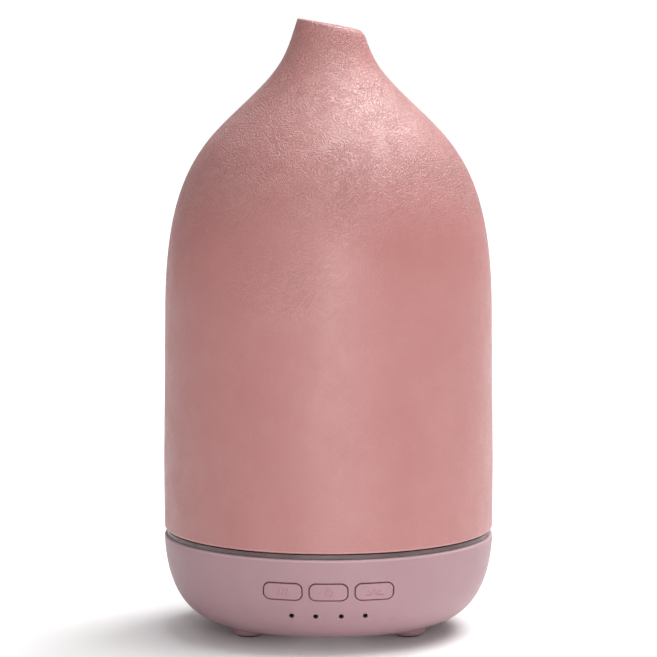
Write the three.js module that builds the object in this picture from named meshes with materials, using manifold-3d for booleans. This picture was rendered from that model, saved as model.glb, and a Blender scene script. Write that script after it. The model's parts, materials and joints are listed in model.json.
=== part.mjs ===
// Ceramic essential-oil diffuser: an ultrasonic mist maker with a lift-off ceramic cover.
// Millimetres, +Z up, front (buttons) towards -Y, power socket towards +Y.
// The origin is on the table, under the axis.
// The assembly, from the table up: rubber feet, bottom cover, fan and air duct, boards, base shell,
// water tank with its mist transducer, seat ring, inner lid with the mist chimney, ceramic cover.
import * as THREE from "three";
import { mergeVertices } from "three/addons/utils/BufferGeometryUtils.js";
import Module from "manifold-3d";

const wasm = await Module();
wasm.setup();

// ---------- Driving dimensions ----------
const BODY_R = 44; // outer radius of cover and base
const RIM_Z = 161.6; // height of the slanted rim at the axis
const RIM_TILT = THREE.MathUtils.degToRad(10.4); // the mist outlet's slant, low side towards +X
const CERAMIC = 2.8; // wall of the ceramic cover
const PLASTIC = 2.3; // wall of the base shell
const GAP = 0.3; // between pieces that touch
const SEAM_LOW = 25.9; // top edge of the base shell
const SEAM_HIGH = 27.4; // bottom edge of the ceramic cover
const BOTTOM_Z = 3.4; // underside of the bottom cover
const BOTTOM_R = 31.8; // opening of the base shell at the bottom
const LEDGE_Z = 5.9; // ledge of the base shell that the bottom cover is pulled against

const TANK_R = 38.6; // tank wall, outside
const TANK_IN = 36.4; // tank wall, inside
const TANK_FLOOR = 36; // water side of the tank floor
const TANK_TOP = 80;
const POST_R = 25.5; // circle of the three screw posts
const POST_ANGLES = [-90, 30, 150];
const FOOT_R = 24.4; // circle of the three feet
const FEET = [["front_left", -150], ["front_right", -30], ["rear", 90]];

const FAN_Y = 10; // fan centre, behind the axis
const FAN_HALF = 15;
const FAN_LOW = 5.9;
const FAN_HIGH = 12.9;
const FAN_BORE = 14;
const FAN_HOLE = 12.25; // fan screw holes, from the fan's centre along x and y

const RISER = { x0: 25, x1: 33.5, y: 5.2, wall: 1.5, top: 72, foot: 22.3 }; // air riser in the tank

const TRANSDUCER_R = 17.2; // circle of the retaining plate's three screws
const TRANSDUCER_ANGLES = [60, 180, 300];
const COLLAR_R = 12.6; // inside of the collar round the transducer's seal
const COLLAR_LOW = 25.5;
const PLATE_LOW = 24.2; // underside of the retaining plate

const BUTTON_Z = 17.35;
const BUTTON_PITCH = 11.8;
const BUTTON = { w: 9.7, h: 4.3, r: 1.6 };
const BUTTON_CUT = 0.3; // gap round a button
const BUTTON_PROUD = 0.25; // how far a button stands out of the shell
const FLANGE_T = 0.9; // flange behind the wall that keeps a button in
const BUTTONS = [["mist", -1], ["power", 0], ["light", 1]];
const LED_Z = 10.6;
const LED_X = [-9.5, -3.3, 3.3, 9.5];
const LED_HOLE = 0.65;
const LED_DEPTH = 0.6; // how far the light guide's pins end under the shell's outside
const OUTSIDE_Y = -50; // in front of everything, for cuts through the front wall
const BEHIND_Y = -30; // behind the front wall

const BOARD_T = 1.6;
const BOARD_Y = -30.5; // front face of the upright control board
const CONTROL_BACK = BOARD_Y + BOARD_T;
const CONTROL_SCREW_X = 15.5;
const CONTROL_SCREW_Z = 10.8;
const SWITCH_FRONT = BOARD_Y - GAP - 3.3;
const STEM_TIP = -35.8; // front end of a switch stem, in y

const MAIN_Z = 10; // underside of the main board
const MAIN_TOP = MAIN_Z + BOARD_T;
const SEAT = MAIN_TOP + GAP; // where a component stands on the main board
const MAIN_SCREW_X = 20;
const MAIN_SCREW_Y = -12;

const SOCKET_Z = 14;
const SOCKET_BACK = 27.9; // inner end of the power socket, in y
const SOCKET_TIP = 40.8;
const PLUG_R = 3.15; // bore of the socket, for a 5.5 mm plug
const PIN_R = 1;
const SOCKET_NOSE_R = 4;

const SCREW_BORE = 1.1; // radius of the hole that a small screw goes into
const LEAD_SIDES = 6;
const ROUND = 36; // facets of the cover, the base shell and the ring between them
const INNER = 28; // facets of the round pieces inside them
const FINE = 12; // facets of a screw, pin or post

// ---------- Materials ----------
const finish = (color, roughness, metalness = 0, opacity = 1) =>
  new THREE.MeshStandardMaterial({ color, roughness, metalness, opacity, transparent: opacity < 1 });
const CERAMIC_PINK = finish(0xc8928f, 0.62);
const SHELL_PINK = finish(0xbd9ca1, 0.5);
const BUTTON_PINK = finish(0xbf9a9f, 0.45);
const SMOKE = finish(0x6e5c5c, 0.5);
const MILK = finish(0xf1efe9, 0.4, 0, 0.85);
const DARK_RUBBER = finish(0x3b3a3d, 0.85);
const WHITE_RUBBER = finish(0xdedbd4, 0.7);
const BLACK = finish(0x1d1d1f, 0.5);
const BOARD_GREEN = finish(0x1f5b3a, 0.45);
const STEEL = finish(0xb9babd, 0.35, 1);
const ALUMINIUM = finish(0xa9acb1, 0.45, 1);
const COPPER = finish(0xb06a3b, 0.35, 1);
const LED_WHITE = finish(0xf4f1e2, 0.3);
const RED_LEAD = finish(0xa32323, 0.55);
const SMOKED = finish(0x2a2728, 0.2, 0, 0.9);

// ---------- Solid helpers ----------
const part = new THREE.Group();
const rad = THREE.MathUtils.degToRad;
const onCircle = (r, degrees) => [r * Math.cos(rad(degrees)), r * Math.sin(rad(degrees))];

// A three.js geometry as a manifold solid, moved by an optional matrix.
function solid(geometry, matrix) {
  const g = geometry.clone();
  for (const name of ["normal", "uv"]) g.deleteAttribute(name);
  if (matrix) g.applyMatrix4(matrix);
  const merged = mergeVertices(g, 1e-4);
  const index = merged.index.array;
  const triangles = [];
  for (let i = 0; i < index.length; i += 3) {
    const [a, b, c] = [index[i], index[i + 1], index[i + 2]];
    if (a !== b && b !== c && c !== a) triangles.push(a, b, c);
  }
  const vertProperties = new Float32Array(merged.attributes.position.array);
  const triVerts = new Uint32Array(triangles);
  return new wasm.Manifold(new wasm.Mesh({ numProp: 3, vertProperties, triVerts }));
}

// A manifold solid as a three.js geometry with flat normals.
function geometryOf(manifold) {
  const mesh = manifold.getMesh();
  const g = new THREE.BufferGeometry();
  g.setAttribute("position", new THREE.BufferAttribute(new Float32Array(mesh.vertProperties), 3));
  g.setIndex(new THREE.BufferAttribute(new Uint32Array(mesh.triVerts), 1));
  const flat = g.toNonIndexed();
  flat.computeVertexNormals();
  return flat;
}

function addPiece(name, manifold, material) {
  const mesh = new THREE.Mesh(geometryOf(manifold), material);
  mesh.name = name;
  part.add(mesh);
  return mesh;
}

const union = (...solids) => solids.reduce((a, b) => a.add(b));
const without = (body, ...cuts) => cuts.reduce((a, b) => a.subtract(b), body);
const move = (x, y, z) => new THREE.Matrix4().makeTranslation(x, y, z);
const turnZ = (degrees) => new THREE.Matrix4().makeRotationZ(rad(degrees));

const LATHE_UP = new THREE.Matrix4().makeRotationX(Math.PI / 2); // lathe axis Y onto Z
const FACE_FRONT = new THREE.Matrix4().makeRotationX(Math.PI / 2); // extrusion along Z onto -Y

function signedArea(points) {
  return points.reduce((sum, [r, z], i) => {
    const [nr, nz] = points[(i + 1) % points.length];
    return sum + (r * nz - nr * z) / 2;
  }, 0);
}

// A profile of [radius, height] points, turned about Z. It closes on itself.
function revolve(points, facets = ROUND) {
  const ordered = signedArea(points) > 0 ? points : [...points].reverse();
  const profile = [...ordered, ordered[0]].map(([r, z]) => new THREE.Vector2(r, z));
  return solid(new THREE.LatheGeometry(profile, facets), LATHE_UP);
}

function cylinder(r, z0, z1, x = 0, y = 0, facets = FINE) {
  const g = new THREE.CylinderGeometry(r, r, z1 - z0, facets);
  return solid(g, move(x, y, (z0 + z1) / 2).multiply(LATHE_UP));
}

// Upright cylinders at some angles round a circle.
function ringOf(angles, circleR, r, z0, z1) {
  return angles.map((a) => cylinder(r, z0, z1, ...onCircle(circleR, a)));
}

// A cylinder that lies along Y.
function rodY(r, y0, y1, x, z, facets = FINE) {
  const g = new THREE.CylinderGeometry(r, r, y1 - y0, facets);
  return solid(g, move(x, (y0 + y1) / 2, z));
}

function block(x0, x1, y0, y1, z0, z1) {
  const g = new THREE.BoxGeometry(x1 - x0, y1 - y0, z1 - z0);
  return solid(g, move((x0 + x1) / 2, (y0 + y1) / 2, (z0 + z1) / 2));
}

function roundedRectangle(w, h, r) {
  const shape = new THREE.Shape();
  shape.absarc(w / 2 - r, h / 2 - r, r, 0, Math.PI / 2);
  shape.absarc(r - w / 2, h / 2 - r, r, Math.PI / 2, Math.PI);
  shape.absarc(r - w / 2, r - h / 2, r, Math.PI, 1.5 * Math.PI);
  shape.absarc(w / 2 - r, r - h / 2, r, 1.5 * Math.PI, 2 * Math.PI);
  return shape;
}

// A flat shape drawn in x, y and raised from z0 to z1.
function plate(shape, z0, z1, curveSegments = 2) {
  const g = new THREE.ExtrudeGeometry(shape, { depth: z1 - z0, bevelEnabled: false, curveSegments });
  return solid(g, move(0, 0, z0));
}

// A flat shape drawn in x, z and extruded along Y from y0 (front) to y1.
function frontPlate(shape, x, z, y0, y1, curveSegments = 2) {
  const g = new THREE.ExtrudeGeometry(shape, { depth: y1 - y0, bevelEnabled: false, curveSegments });
  return solid(g, move(x, y1, z).multiply(FACE_FRONT));
}

// A lead of radius r along a smooth curve through the given points.
function lead(points, r, steps) {
  const path = new THREE.CatmullRomCurve3(points.map((p) => new THREE.Vector3(...p)));
  const section = new THREE.Shape();
  section.absarc(0, 0, r, 0, 2 * Math.PI);
  const options = { steps, extrudePath: path, bevelEnabled: false, curveSegments: LEAD_SIDES / 2 };
  return solid(new THREE.ExtrudeGeometry(section, options));
}

// A pan-head screw pointing up: head from z to z + head, shank above it.
function screwUp(x, y, z, head, headR, shankR, length) {
  return union(
    cylinder(headR, z, z + head, x, y),
    cylinder(shankR, z + head / 2, z + head + length, x, y, 8),
  );
}

// The same screw pointing down: head from z - head to z, shank below it.
function screwDown(x, y, z, head, headR, shankR, length) {
  return union(
    cylinder(headR, z - head, z, x, y),
    cylinder(shankR, z - head - length, z - head / 2, x, y, 8),
  );
}

// ---------- Outlines ----------
const bezier = (a, b, c, d, divisions) =>
  new THREE.CubicBezierCurve(...[a, b, c, d].map((p) => new THREE.Vector2(...p)))
    .getPoints(divisions)
    .map((p) => [p.x, p.y]);

// Outside of the ceramic cover, bottom to top: a slightly drafted body, a round shoulder, a flared neck.
function coverOutline(shoulderSteps = 6, neckSteps = 4) {
  return [
    [BODY_R - 0.9, SEAM_HIGH],
    [BODY_R - 0.1, SEAM_HIGH + 0.8],
    [BODY_R, 46],
    ...bezier([43.5, 86], [43.25, 112], [38.5, 124.3], [28.65, 134.5], shoulderSteps),
    ...bezier([28.65, 134.5], [23.1, 140.3], [15.9, 145.9], [12.4, 152], neckSteps).slice(1),
    ...bezier([12.4, 152], [10.4, 155.5], [9.3, 159.6], [8.1, 163.4], 2).slice(1),
    [7.3, 166],
  ];
}

// Outside of the base, bottom to top.
function baseOutline(steps = 6) {
  return bezier([BOTTOM_R, BOTTOM_Z], [37.4, 4.9], [43.3, 10.6], [BODY_R - 0.05, SEAM_LOW - 0.5], steps);
}

// A profile moved sideways by a distance, inwards when it is positive. It must run bottom to top.
function inset(points, distance) {
  return points.map(([r, z], i) => {
    const [ar, az] = points[Math.max(i - 1, 0)];
    const [br, bz] = points[Math.min(i + 1, points.length - 1)];
    const length = Math.hypot(br - ar, bz - az);
    return [r - (distance * (bz - az)) / length, z + (distance * (br - ar)) / length];
  });
}

// A solid of revolution filling a bottom-to-top outline right to the axis.
function filled(outline) {
  const low = outline[0];
  const high = outline[outline.length - 1];
  return revolve([[0, low[1]], ...outline, [0, high[1]]]);
}

// ---------- Cover, seat ring and lid ----------
function ceramicCover() {
  const outer = coverOutline();
  const inner = inset(coverOutline(5, 3).slice(2), CERAMIC);
  const bore = [[BODY_R - CERAMIC - 0.1, SEAM_HIGH], ...inner];
  const shell = revolve([...outer, ...bore.reverse()]);
  const tilt = new THREE.Matrix4().makeRotationY(RIM_TILT);
  const above = new THREE.BoxGeometry(60, 60, 40);
  const cut = solid(above, move(0, 0, RIM_Z).multiply(tilt).multiply(move(0, 0, 20)));
  return without(shell, cut);
}

// L-shaped silicone ring: the cover stands on its foot and is centred by its collar.
function seatRing() {
  const low = SEAM_LOW + GAP;
  const high = SEAM_HIGH - GAP;
  const foot = [[39.8, low], [43.2, low], [43.2, high], [40.7, high]];
  return revolve([...foot, [40.7, 29.6], [40.3, 30], [39.8, 30]]);
}

// Bell-shaped lid inside the cover; its skirt drops into the tank and its chimney carries the mist up.
function innerLid() {
  const wall = 1.4;
  const bell = bezier([34.5, 81.8], [32.5, 95], [13.5, 95.5], [9.2, 106], 6);
  const outside = [[38.4, TANK_TOP + GAP], [38.4, 81.3], [37.9, 81.8], ...bell, [7.7, 130.5], [7.3, 131]];
  const inside = [...inset(bell.slice(1), wall), [6.3, 131]];
  const skirt = [[33.2, 80.3], [34.9, 79], [34.9, 74], [35.9, 74], [35.9, 80.3]];
  return revolve([...outside, ...inside.reverse(), ...skirt], INNER);
}

// ---------- Tank ----------
function riserBlock(z0, z1, grow, outerX = RISER.x1 + grow) {
  return block(RISER.x0 - grow, outerX, -RISER.y - grow, RISER.y + grow, z0, z1);
}

function waterTank() {
  const bowl = revolve([
    [8, 31], [8, 32.5], [9.5, 32.5], [16, TANK_FLOOR], [TANK_IN, TANK_FLOOR], [TANK_IN, 78.8],
    [36.9, TANK_TOP], [38.1, TANK_TOP], [TANK_R, 79.5], [TANK_R, SEAM_LOW], [41.3, SEAM_LOW], [41.3, 24.6],
    [TANK_IN, 24.6], [TANK_IN, 34], [17, 34],
    [COLLAR_R + 2, 32.7], [COLLAR_R + 2, COLLAR_LOW], [COLLAR_R, COLLAR_LOW], [COLLAR_R, 31],
  ], INNER);
  const riser = union(
    riserBlock(RISER.foot, 35, RISER.wall),
    riserBlock(34.5, RISER.top, RISER.wall, TANK_IN + 0.6),
  );
  const posts = ringOf(POST_ANGLES, POST_R, 2.8, 7.6, 35);
  const pilots = ringOf(POST_ANGLES, POST_R, 1.6, 7, 20);
  const bosses = ringOf(TRANSDUCER_ANGLES, TRANSDUCER_R, 2, COLLAR_LOW, 34.5);
  const bossPilots = ringOf(TRANSDUCER_ANGLES, TRANSDUCER_R, SCREW_BORE, 25, 32);
  return without(
    union(bowl, riser, ...posts, ...bosses),
    ...pilots,
    ...bossPilots,
    riserBlock(RISER.foot - 1, RISER.top + 1, 0),
  );
}

function tankGasket() {
  return revolve([[39.6, 23.5], [41, 23.5], [41, 24.3], [39.6, 24.3]], INNER);
}

// ---------- Mist transducer under the tank ----------
function transducer() {
  addPiece("transducer_disc", cylinder(10, 27.7, 28.6, 0, 0, 24), STEEL);
  const bootR = COLLAR_R - GAP;
  const boot = [
    [8.6, COLLAR_LOW], [bootR, COLLAR_LOW], [bootR, 30.7], [8.6, 30.7],
    [8.6, 28.9], [10.3, 28.9], [10.3, 27.4], [8.6, 27.4],
  ];
  addPiece("transducer_seal", revolve(boot, INNER), WHITE_RUBBER);
  const ears = ringOf(TRANSDUCER_ANGLES, TRANSDUCER_R, 3, PLATE_LOW, PLATE_LOW + 1);
  const holes = ringOf(TRANSDUCER_ANGLES, TRANSDUCER_R, 1.15, PLATE_LOW - 1, PLATE_LOW + 2);
  const web = cylinder(COLLAR_R + 2, PLATE_LOW, PLATE_LOW + 1, 0, 0, 24);
  const middle = cylinder(6.5, PLATE_LOW - 1, PLATE_LOW + 2);
  addPiece("transducer_retainer", without(union(web, ...ears), middle, ...holes), STEEL);
  TRANSDUCER_ANGLES.forEach((a, i) => {
    const screw = screwUp(...onCircle(TRANSDUCER_R, a), PLATE_LOW - GAP - 1, 1, 1.9, 0.8, 7);
    addPiece(`transducer_screw_${i + 1}`, screw, STEEL);
  });
}

// ---------- Base shell, bottom cover and feet ----------
function controlBosses(r, y0, y1) {
  return [-CONTROL_SCREW_X, CONTROL_SCREW_X].map((x) => rodY(r, y0, y1, x, CONTROL_SCREW_Z));
}

function baseShell() {
  const inner = inset(baseOutline(), PLASTIC).filter(([, z]) => z > 7.8 && z < 21.6);
  const shell = revolve([
    ...baseOutline(),
    [BODY_R - 0.55, SEAM_LOW], [41.7, SEAM_LOW], [41.7, 23.2], [39.2, 23.2], [39.2, 21.9], [41.2, 21.6],
    ...inner.reverse(),
    [35.6, 7.4], [30.2, 7.2], [30.2, LEDGE_Z], [BOTTOM_R, LEDGE_Z],
  ]);
  const cutW = BUTTON.w + 2 * BUTTON_CUT;
  const cutH = BUTTON.h + 2 * BUTTON_CUT;
  const openings = BUTTONS.map(([, side]) => {
    const opening = roundedRectangle(cutW, cutH, BUTTON.r + BUTTON_CUT);
    return frontPlate(opening, side * BUTTON_PITCH, BUTTON_Z, OUTSIDE_Y, BEHIND_Y);
  });
  const ledHoles = LED_X.map((x) => rodY(LED_HOLE, OUTSIDE_Y, BEHIND_Y, x, LED_Z));
  return without(
    union(shell, ...controlBosses(2.2, -36, BOARD_Y - GAP)),
    ...openings,
    ...ledHoles,
    ...controlBosses(SCREW_BORE, -34.8, BEHIND_Y),
    rodY(SOCKET_NOSE_R + 0.4, 30, 50, 0, SOCKET_Z, 20),
  );
}

// Air inlet: three rings of curved slots under the fan, left solid where the rear foot stands.
function inletSlots() {
  const slots = [];
  for (const [r0, r1, count] of [[3.2, 5.2, 3], [6.9, 8.9, 4], [10.6, 12.6, 6]]) {
    for (let i = 0; i < count; i++) {
      const underFoot = r0 > 10 && i === 1;
      if (underFoot) continue;
      const bridge = 1.1 / r0; // half of the bridge between two slots, as an angle
      const from = (i / count) * 2 * Math.PI + bridge / 2;
      const to = ((i + 1) / count) * 2 * Math.PI - bridge / 2;
      const slot = new THREE.Shape();
      slot.absarc(0, FAN_Y, r1, from, to, false);
      slot.absarc(0, FAN_Y, r0, to, from, true);
      slots.push(plate(slot, BOTTOM_Z - 1, LEDGE_Z + 1, 2));
    }
  }
  return slots;
}

function bottomCover() {
  const disc = cylinder(BOTTOM_R - 0.4, BOTTOM_Z, LEDGE_Z - GAP, 0, 0, ROUND);
  const feet = FEET.map(([, a]) => {
    const boss = revolve([[0, 0.5], [3.9, 0.5], [4.5, 0.9], [4.7, 1.6], [4.7, 4], [0, 4]], 20);
    return boss.translate([...onCircle(FOOT_R, a), 0]);
  });
  const recesses = FEET.map(([, a]) => cylinder(3.6, 0, 1.5, ...onCircle(FOOT_R, a), 20));
  const screwPads = ringOf(POST_ANGLES, POST_R, 4, 5, 7.3);
  const heads = ringOf(POST_ANGLES, POST_R, 2.9, 3, 5.4);
  const throughs = ringOf(POST_ANGLES, POST_R, 1.6, 3, 8);
  const standoffs = [-1, 1].map((s) => cylinder(2.6, 5, MAIN_Z - GAP, s * MAIN_SCREW_X, MAIN_SCREW_Y));
  const standoffBores = [-1, 1].map((s) => cylinder(SCREW_BORE, 6, 12, s * MAIN_SCREW_X, MAIN_SCREW_Y));
  const fanBores = [-1, 1].map((s) => cylinder(SCREW_BORE, 3.9, 8, s * FAN_HOLE, FAN_Y + s * FAN_HOLE));
  const cradleWalls = [[-4.8, 4.8, 8.7], [-6.3, -4.8, 12.5], [4.8, 6.3, 12.5]];
  const cradle = cradleWalls.map(([x0, x1, top]) => block(x0, x1, 27.6, 29, 5, top));
  return without(
    union(disc, ...feet, ...screwPads, ...standoffs, ...cradle),
    ...recesses,
    ...heads,
    ...throughs,
    ...standoffBores,
    ...fanBores,
    ...inletSlots(),
  );
}

function feetAndScrews() {
  for (const [place, angle] of FEET) {
    addPiece(`foot_pad_${place}`, cylinder(3.3, 0, 1.2, ...onCircle(FOOT_R, angle), 20), DARK_RUBBER);
  }
  POST_ANGLES.forEach((a, i) => {
    const screw = screwUp(...onCircle(POST_R, a), 3.7, 1.4, 2.5, 1.25, 11);
    addPiece(`housing_screw_${i + 1}`, screw, STEEL);
  });
}

// ---------- Fan and air duct ----------
function fanFrame() {
  const square = roundedRectangle(2 * FAN_HALF, 2 * FAN_HALF, 2);
  const body = plate(square, FAN_LOW, FAN_HIGH).translate([0, FAN_Y, 0]);
  const corners = [-1, 1].flatMap((sx) => [-1, 1].map((sy) => [sx * FAN_HOLE, FAN_Y + sy * FAN_HOLE]));
  const holes = corners.map(([x, y]) => cylinder(1.4, 5, 14, x, y));
  const ring = without(body, cylinder(FAN_BORE, 5, 14, 0, FAN_Y, 32), ...holes);
  const motorPlate = cylinder(7.5, FAN_HIGH - 1, FAN_HIGH, 0, FAN_Y, 24);
  const struts = [30, 150, 270].map((a) => {
    const bar = new THREE.BoxGeometry(8.4, 1.4, 1);
    return solid(bar, move(0, FAN_Y, FAN_HIGH - 0.5).multiply(turnZ(a)).multiply(move(10.6, 0, 0)));
  });
  const bearing = cylinder(2.2, 8.6, FAN_HIGH - 0.5, 0, FAN_Y);
  return without(union(ring, motorPlate, ...struts, bearing), cylinder(1.1, 8, FAN_HIGH - 0.6, 0, FAN_Y));
}

function fanRotor() {
  const cup = without(cylinder(8.5, 6.6, 11.4, 0, FAN_Y, 24), cylinder(7.4, 7.6, 12, 0, FAN_Y, 24));
  const shaft = cylinder(0.75, 7.2, 11.6, 0, FAN_Y);
  const blades = [0, 1, 2, 3, 4, 5, 6].map((i) => {
    const blade = new THREE.BoxGeometry(5.4, 5.6, 0.8);
    const pitch = new THREE.Matrix4().makeRotationX(rad(42));
    const place = move(0, FAN_Y, 9).multiply(turnZ((i * 360) / 7)).multiply(move(10.6, 0, 0));
    return solid(blade, place.multiply(pitch));
  });
  const core = cylinder(7.6, 6, 12, 0, FAN_Y, 24);
  return union(cup, shaft, ...blades.map((b) => without(b, core)));
}

// Top view of the duct: a round mouth over the fan that runs into a square socket under the riser.
function ductShape(grow) {
  const r = 13.8 + grow;
  const far = 35.3 + grow;
  const half = 7 + grow;
  const shape = new THREE.Shape();
  shape.absarc(0, FAN_Y, r, rad(58), rad(-62), false);
  shape.lineTo(22, -half);
  shape.lineTo(far, -half);
  shape.lineTo(far, half);
  shape.lineTo(22, half);
  return shape;
}

function airDuct() {
  const wall = 1.2;
  const body = plate(ductShape(wall), 13.2, 21.4, 6);
  const hollow = plate(ductShape(0), 14.4, 20.2, 6);
  const mouth = cylinder(13.7, 13, 15, 0, FAN_Y, 32);
  const socket = block(22, 36.5, -8.2, 8.2, 20, 24);
  return without(union(body, socket), hollow, mouth, block(23.2, 35.3, -7, 7, 19, 25));
}

function fanGroup() {
  addPiece("fan_frame", fanFrame(), BLACK);
  addPiece("fan_rotor", fanRotor(), BLACK);
  [-1, 1].forEach((s, i) => {
    const screw = screwDown(s * FAN_HOLE, FAN_Y + s * FAN_HOLE, 14.4, 1.2, 1.7, 0.8, 9);
    addPiece(`fan_screw_${i + 1}`, screw, STEEL);
  });
  addPiece("air_duct", airDuct(), MILK);
}

// ---------- Boards ----------
function mainBoard() {
  const board = plate(roundedRectangle(50, 19.6, 4), MAIN_Z, MAIN_TOP).translate([0, -17.3, 0]);
  const holes = [-1, 1].map((s) => cylinder(1.3, 9, 13, s * MAIN_SCREW_X, MAIN_SCREW_Y));
  return without(board, cylinder(3.4, 9, 13, 0, -POST_R), ...holes);
}

function heatSink() {
  const base = block(-8, 8, -15.2, -13.2, SEAT, 21.4);
  const finPlaces = [-7.5, -4.5, -1.5, 1.5, 4.5, 7.5];
  const fins = finPlaces.map((x) => block(x - 0.5, x + 0.5, -13.5, -9.5, SEAT, 21.4));
  return union(base, ...fins);
}

function powerTransistor() {
  const body = block(-4.9, 4.9, -19.9, -15.5, 14.6, 21.2);
  const tab = block(-4.9, 4.9, -16.8, -15.5, 14.6, 21.4);
  const legs = [-2.5, 0, 2.5].map((x) => block(x - 0.4, x + 0.4, -17.6, -17, SEAT, 15));
  return union(body, tab, ...legs);
}

function mainComponents() {
  addPiece("main_board", mainBoard(), BOARD_GREEN);
  [-1, 1].forEach((s, i) => {
    const screw = screwDown(s * MAIN_SCREW_X, MAIN_SCREW_Y, SEAT + 1.3, 1.3, 2.1, 0.8, 5);
    addPiece(`board_screw_${i + 1}`, screw, STEEL);
  });
  const can = [
    [0, SEAT], [3.7, SEAT], [4, SEAT + 0.4], [4, 13.4],
    [3.7, 13.8], [4, 14.2], [4, 22.3], [3.6, 22.7], [0, 22.7],
  ];
  addPiece("capacitor", revolve(can, 24).translate([-14, -19, 0]), BLACK);
  const coil = [
    [0, SEAT], [4.5, SEAT], [4.5, 13], [3.6, 13.2],
    [3.6, 17], [4.5, 17.2], [4.5, 18.3], [0, 18.3],
  ];
  addPiece("inductor", revolve(coil, 24).translate([14, -19, 0]), COPPER);
  addPiece("heat_sink", heatSink(), ALUMINIUM);
  addPiece("power_transistor", powerTransistor(), BLACK);
  const legs = [-24.3, -23, -21.7].map((y) => block(-24.3, -17.7, y - 0.25, y + 0.25, SEAT, SEAT + 0.4));
  addPiece("controller_chip", union(block(-23, -19, -25, -21, SEAT, SEAT + 1.5), ...legs), BLACK);
  const mouth = block(-14.2, -10.8, -10.5, -7, SEAT + 1, SEAT + 3.2);
  const header = without(block(-15, -10, -12.2, -8, SEAT, SEAT + 4), mouth);
  addPiece("fan_connector", header, WHITE_RUBBER);
}

// Three push switches and four signal lamps on the upright board behind the buttons.
function controlComponents() {
  const outline = roundedRectangle(36, 14, 1);
  const board = frontPlate(outline, 0, 15.5, BOARD_Y, CONTROL_BACK);
  const holes = controlBosses(1.3, -33, -28);
  addPiece("control_board", without(board, ...holes), BOARD_GREEN);
  [-1, 1].forEach((s, i) => {
    const x = s * CONTROL_SCREW_X;
    const head = rodY(2.1, CONTROL_BACK + GAP, CONTROL_BACK + GAP + 1, x, CONTROL_SCREW_Z);
    const shank = rodY(0.8, -33.6, CONTROL_BACK + 1, x, CONTROL_SCREW_Z, 8);
    addPiece(`control_screw_${i + 1}`, union(head, shank), STEEL);
  });
  for (const [use, side] of BUTTONS) {
    const x = side * BUTTON_PITCH;
    const body = block(x - 3, x + 3, SWITCH_FRONT, BOARD_Y - GAP, BUTTON_Z - 3, BUTTON_Z + 3);
    const stemHole = rodY(1.95, SWITCH_FRONT - 1, SWITCH_FRONT + 2, x, BUTTON_Z);
    addPiece(`${use}_switch`, without(body, stemHole), BLACK);
    addPiece(`${use}_switch_stem`, rodY(1.6, STEM_TIP, SWITCH_FRONT + 0.7, x, BUTTON_Z), WHITE_RUBBER);
  }
  LED_X.forEach((x, i) => {
    const lamp = block(x - 1, x + 1, BOARD_Y - GAP - 0.8, BOARD_Y - GAP, LED_Z - 0.65, LED_Z + 0.65);
    addPiece(`signal_led_${i + 1}`, lamp, LED_WHITE);
  });
  const pins = LED_X.map((x) => rodY(LED_HOLE - 0.25, OUTSIDE_Y, -32.2, x, LED_Z, 8));
  const underSkin = filled(inset(baseOutline(), LED_DEPTH));
  const comb = block(-11, 11, -33.1, -31.9, LED_Z - 1, LED_Z + 1.2);
  addPiece("light_guide", union(comb, union(...pins).intersect(underSkin)), SMOKED);
}

function lightBoard() {
  const ring = revolve([[21, 29], [33, 29], [33, 30.2], [21, 30.2]], INNER);
  const holes = POST_ANGLES.map((a) => cylinder(3.3, 28, 31, ...onCircle(POST_R, a)));
  return without(ring, ...holes, block(18, 40, -7.3, 7.3, 28, 31));
}

function glowGroup() {
  addPiece("light_board", lightBoard(), WHITE_RUBBER);
  [90, 210, 330].forEach((a, i) => {
    const lamp = new THREE.BoxGeometry(3.5, 2.8, 1.1);
    const place = turnZ(a).multiply(move(28, 0, 31.05));
    addPiece(`glow_led_${i + 1}`, solid(lamp, place), LED_WHITE);
  });
}

// ---------- Power socket and leads ----------
function powerSocket() {
  const box = block(-4.5, 4.5, SOCKET_BACK, 35.6, SOCKET_Z - 5, SOCKET_Z + 5);
  const nose = rodY(SOCKET_NOSE_R, 35, SOCKET_TIP, 0, SOCKET_Z, 20);
  const hollow = rodY(PLUG_R, SOCKET_BACK + 1.6, SOCKET_TIP + 1, 0, SOCKET_Z, 20);
  const pin = rodY(PIN_R, SOCKET_BACK + 1, SOCKET_TIP - 1, 0, SOCKET_Z, 8);
  return union(without(union(box, nose), hollow), pin);
}

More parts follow.
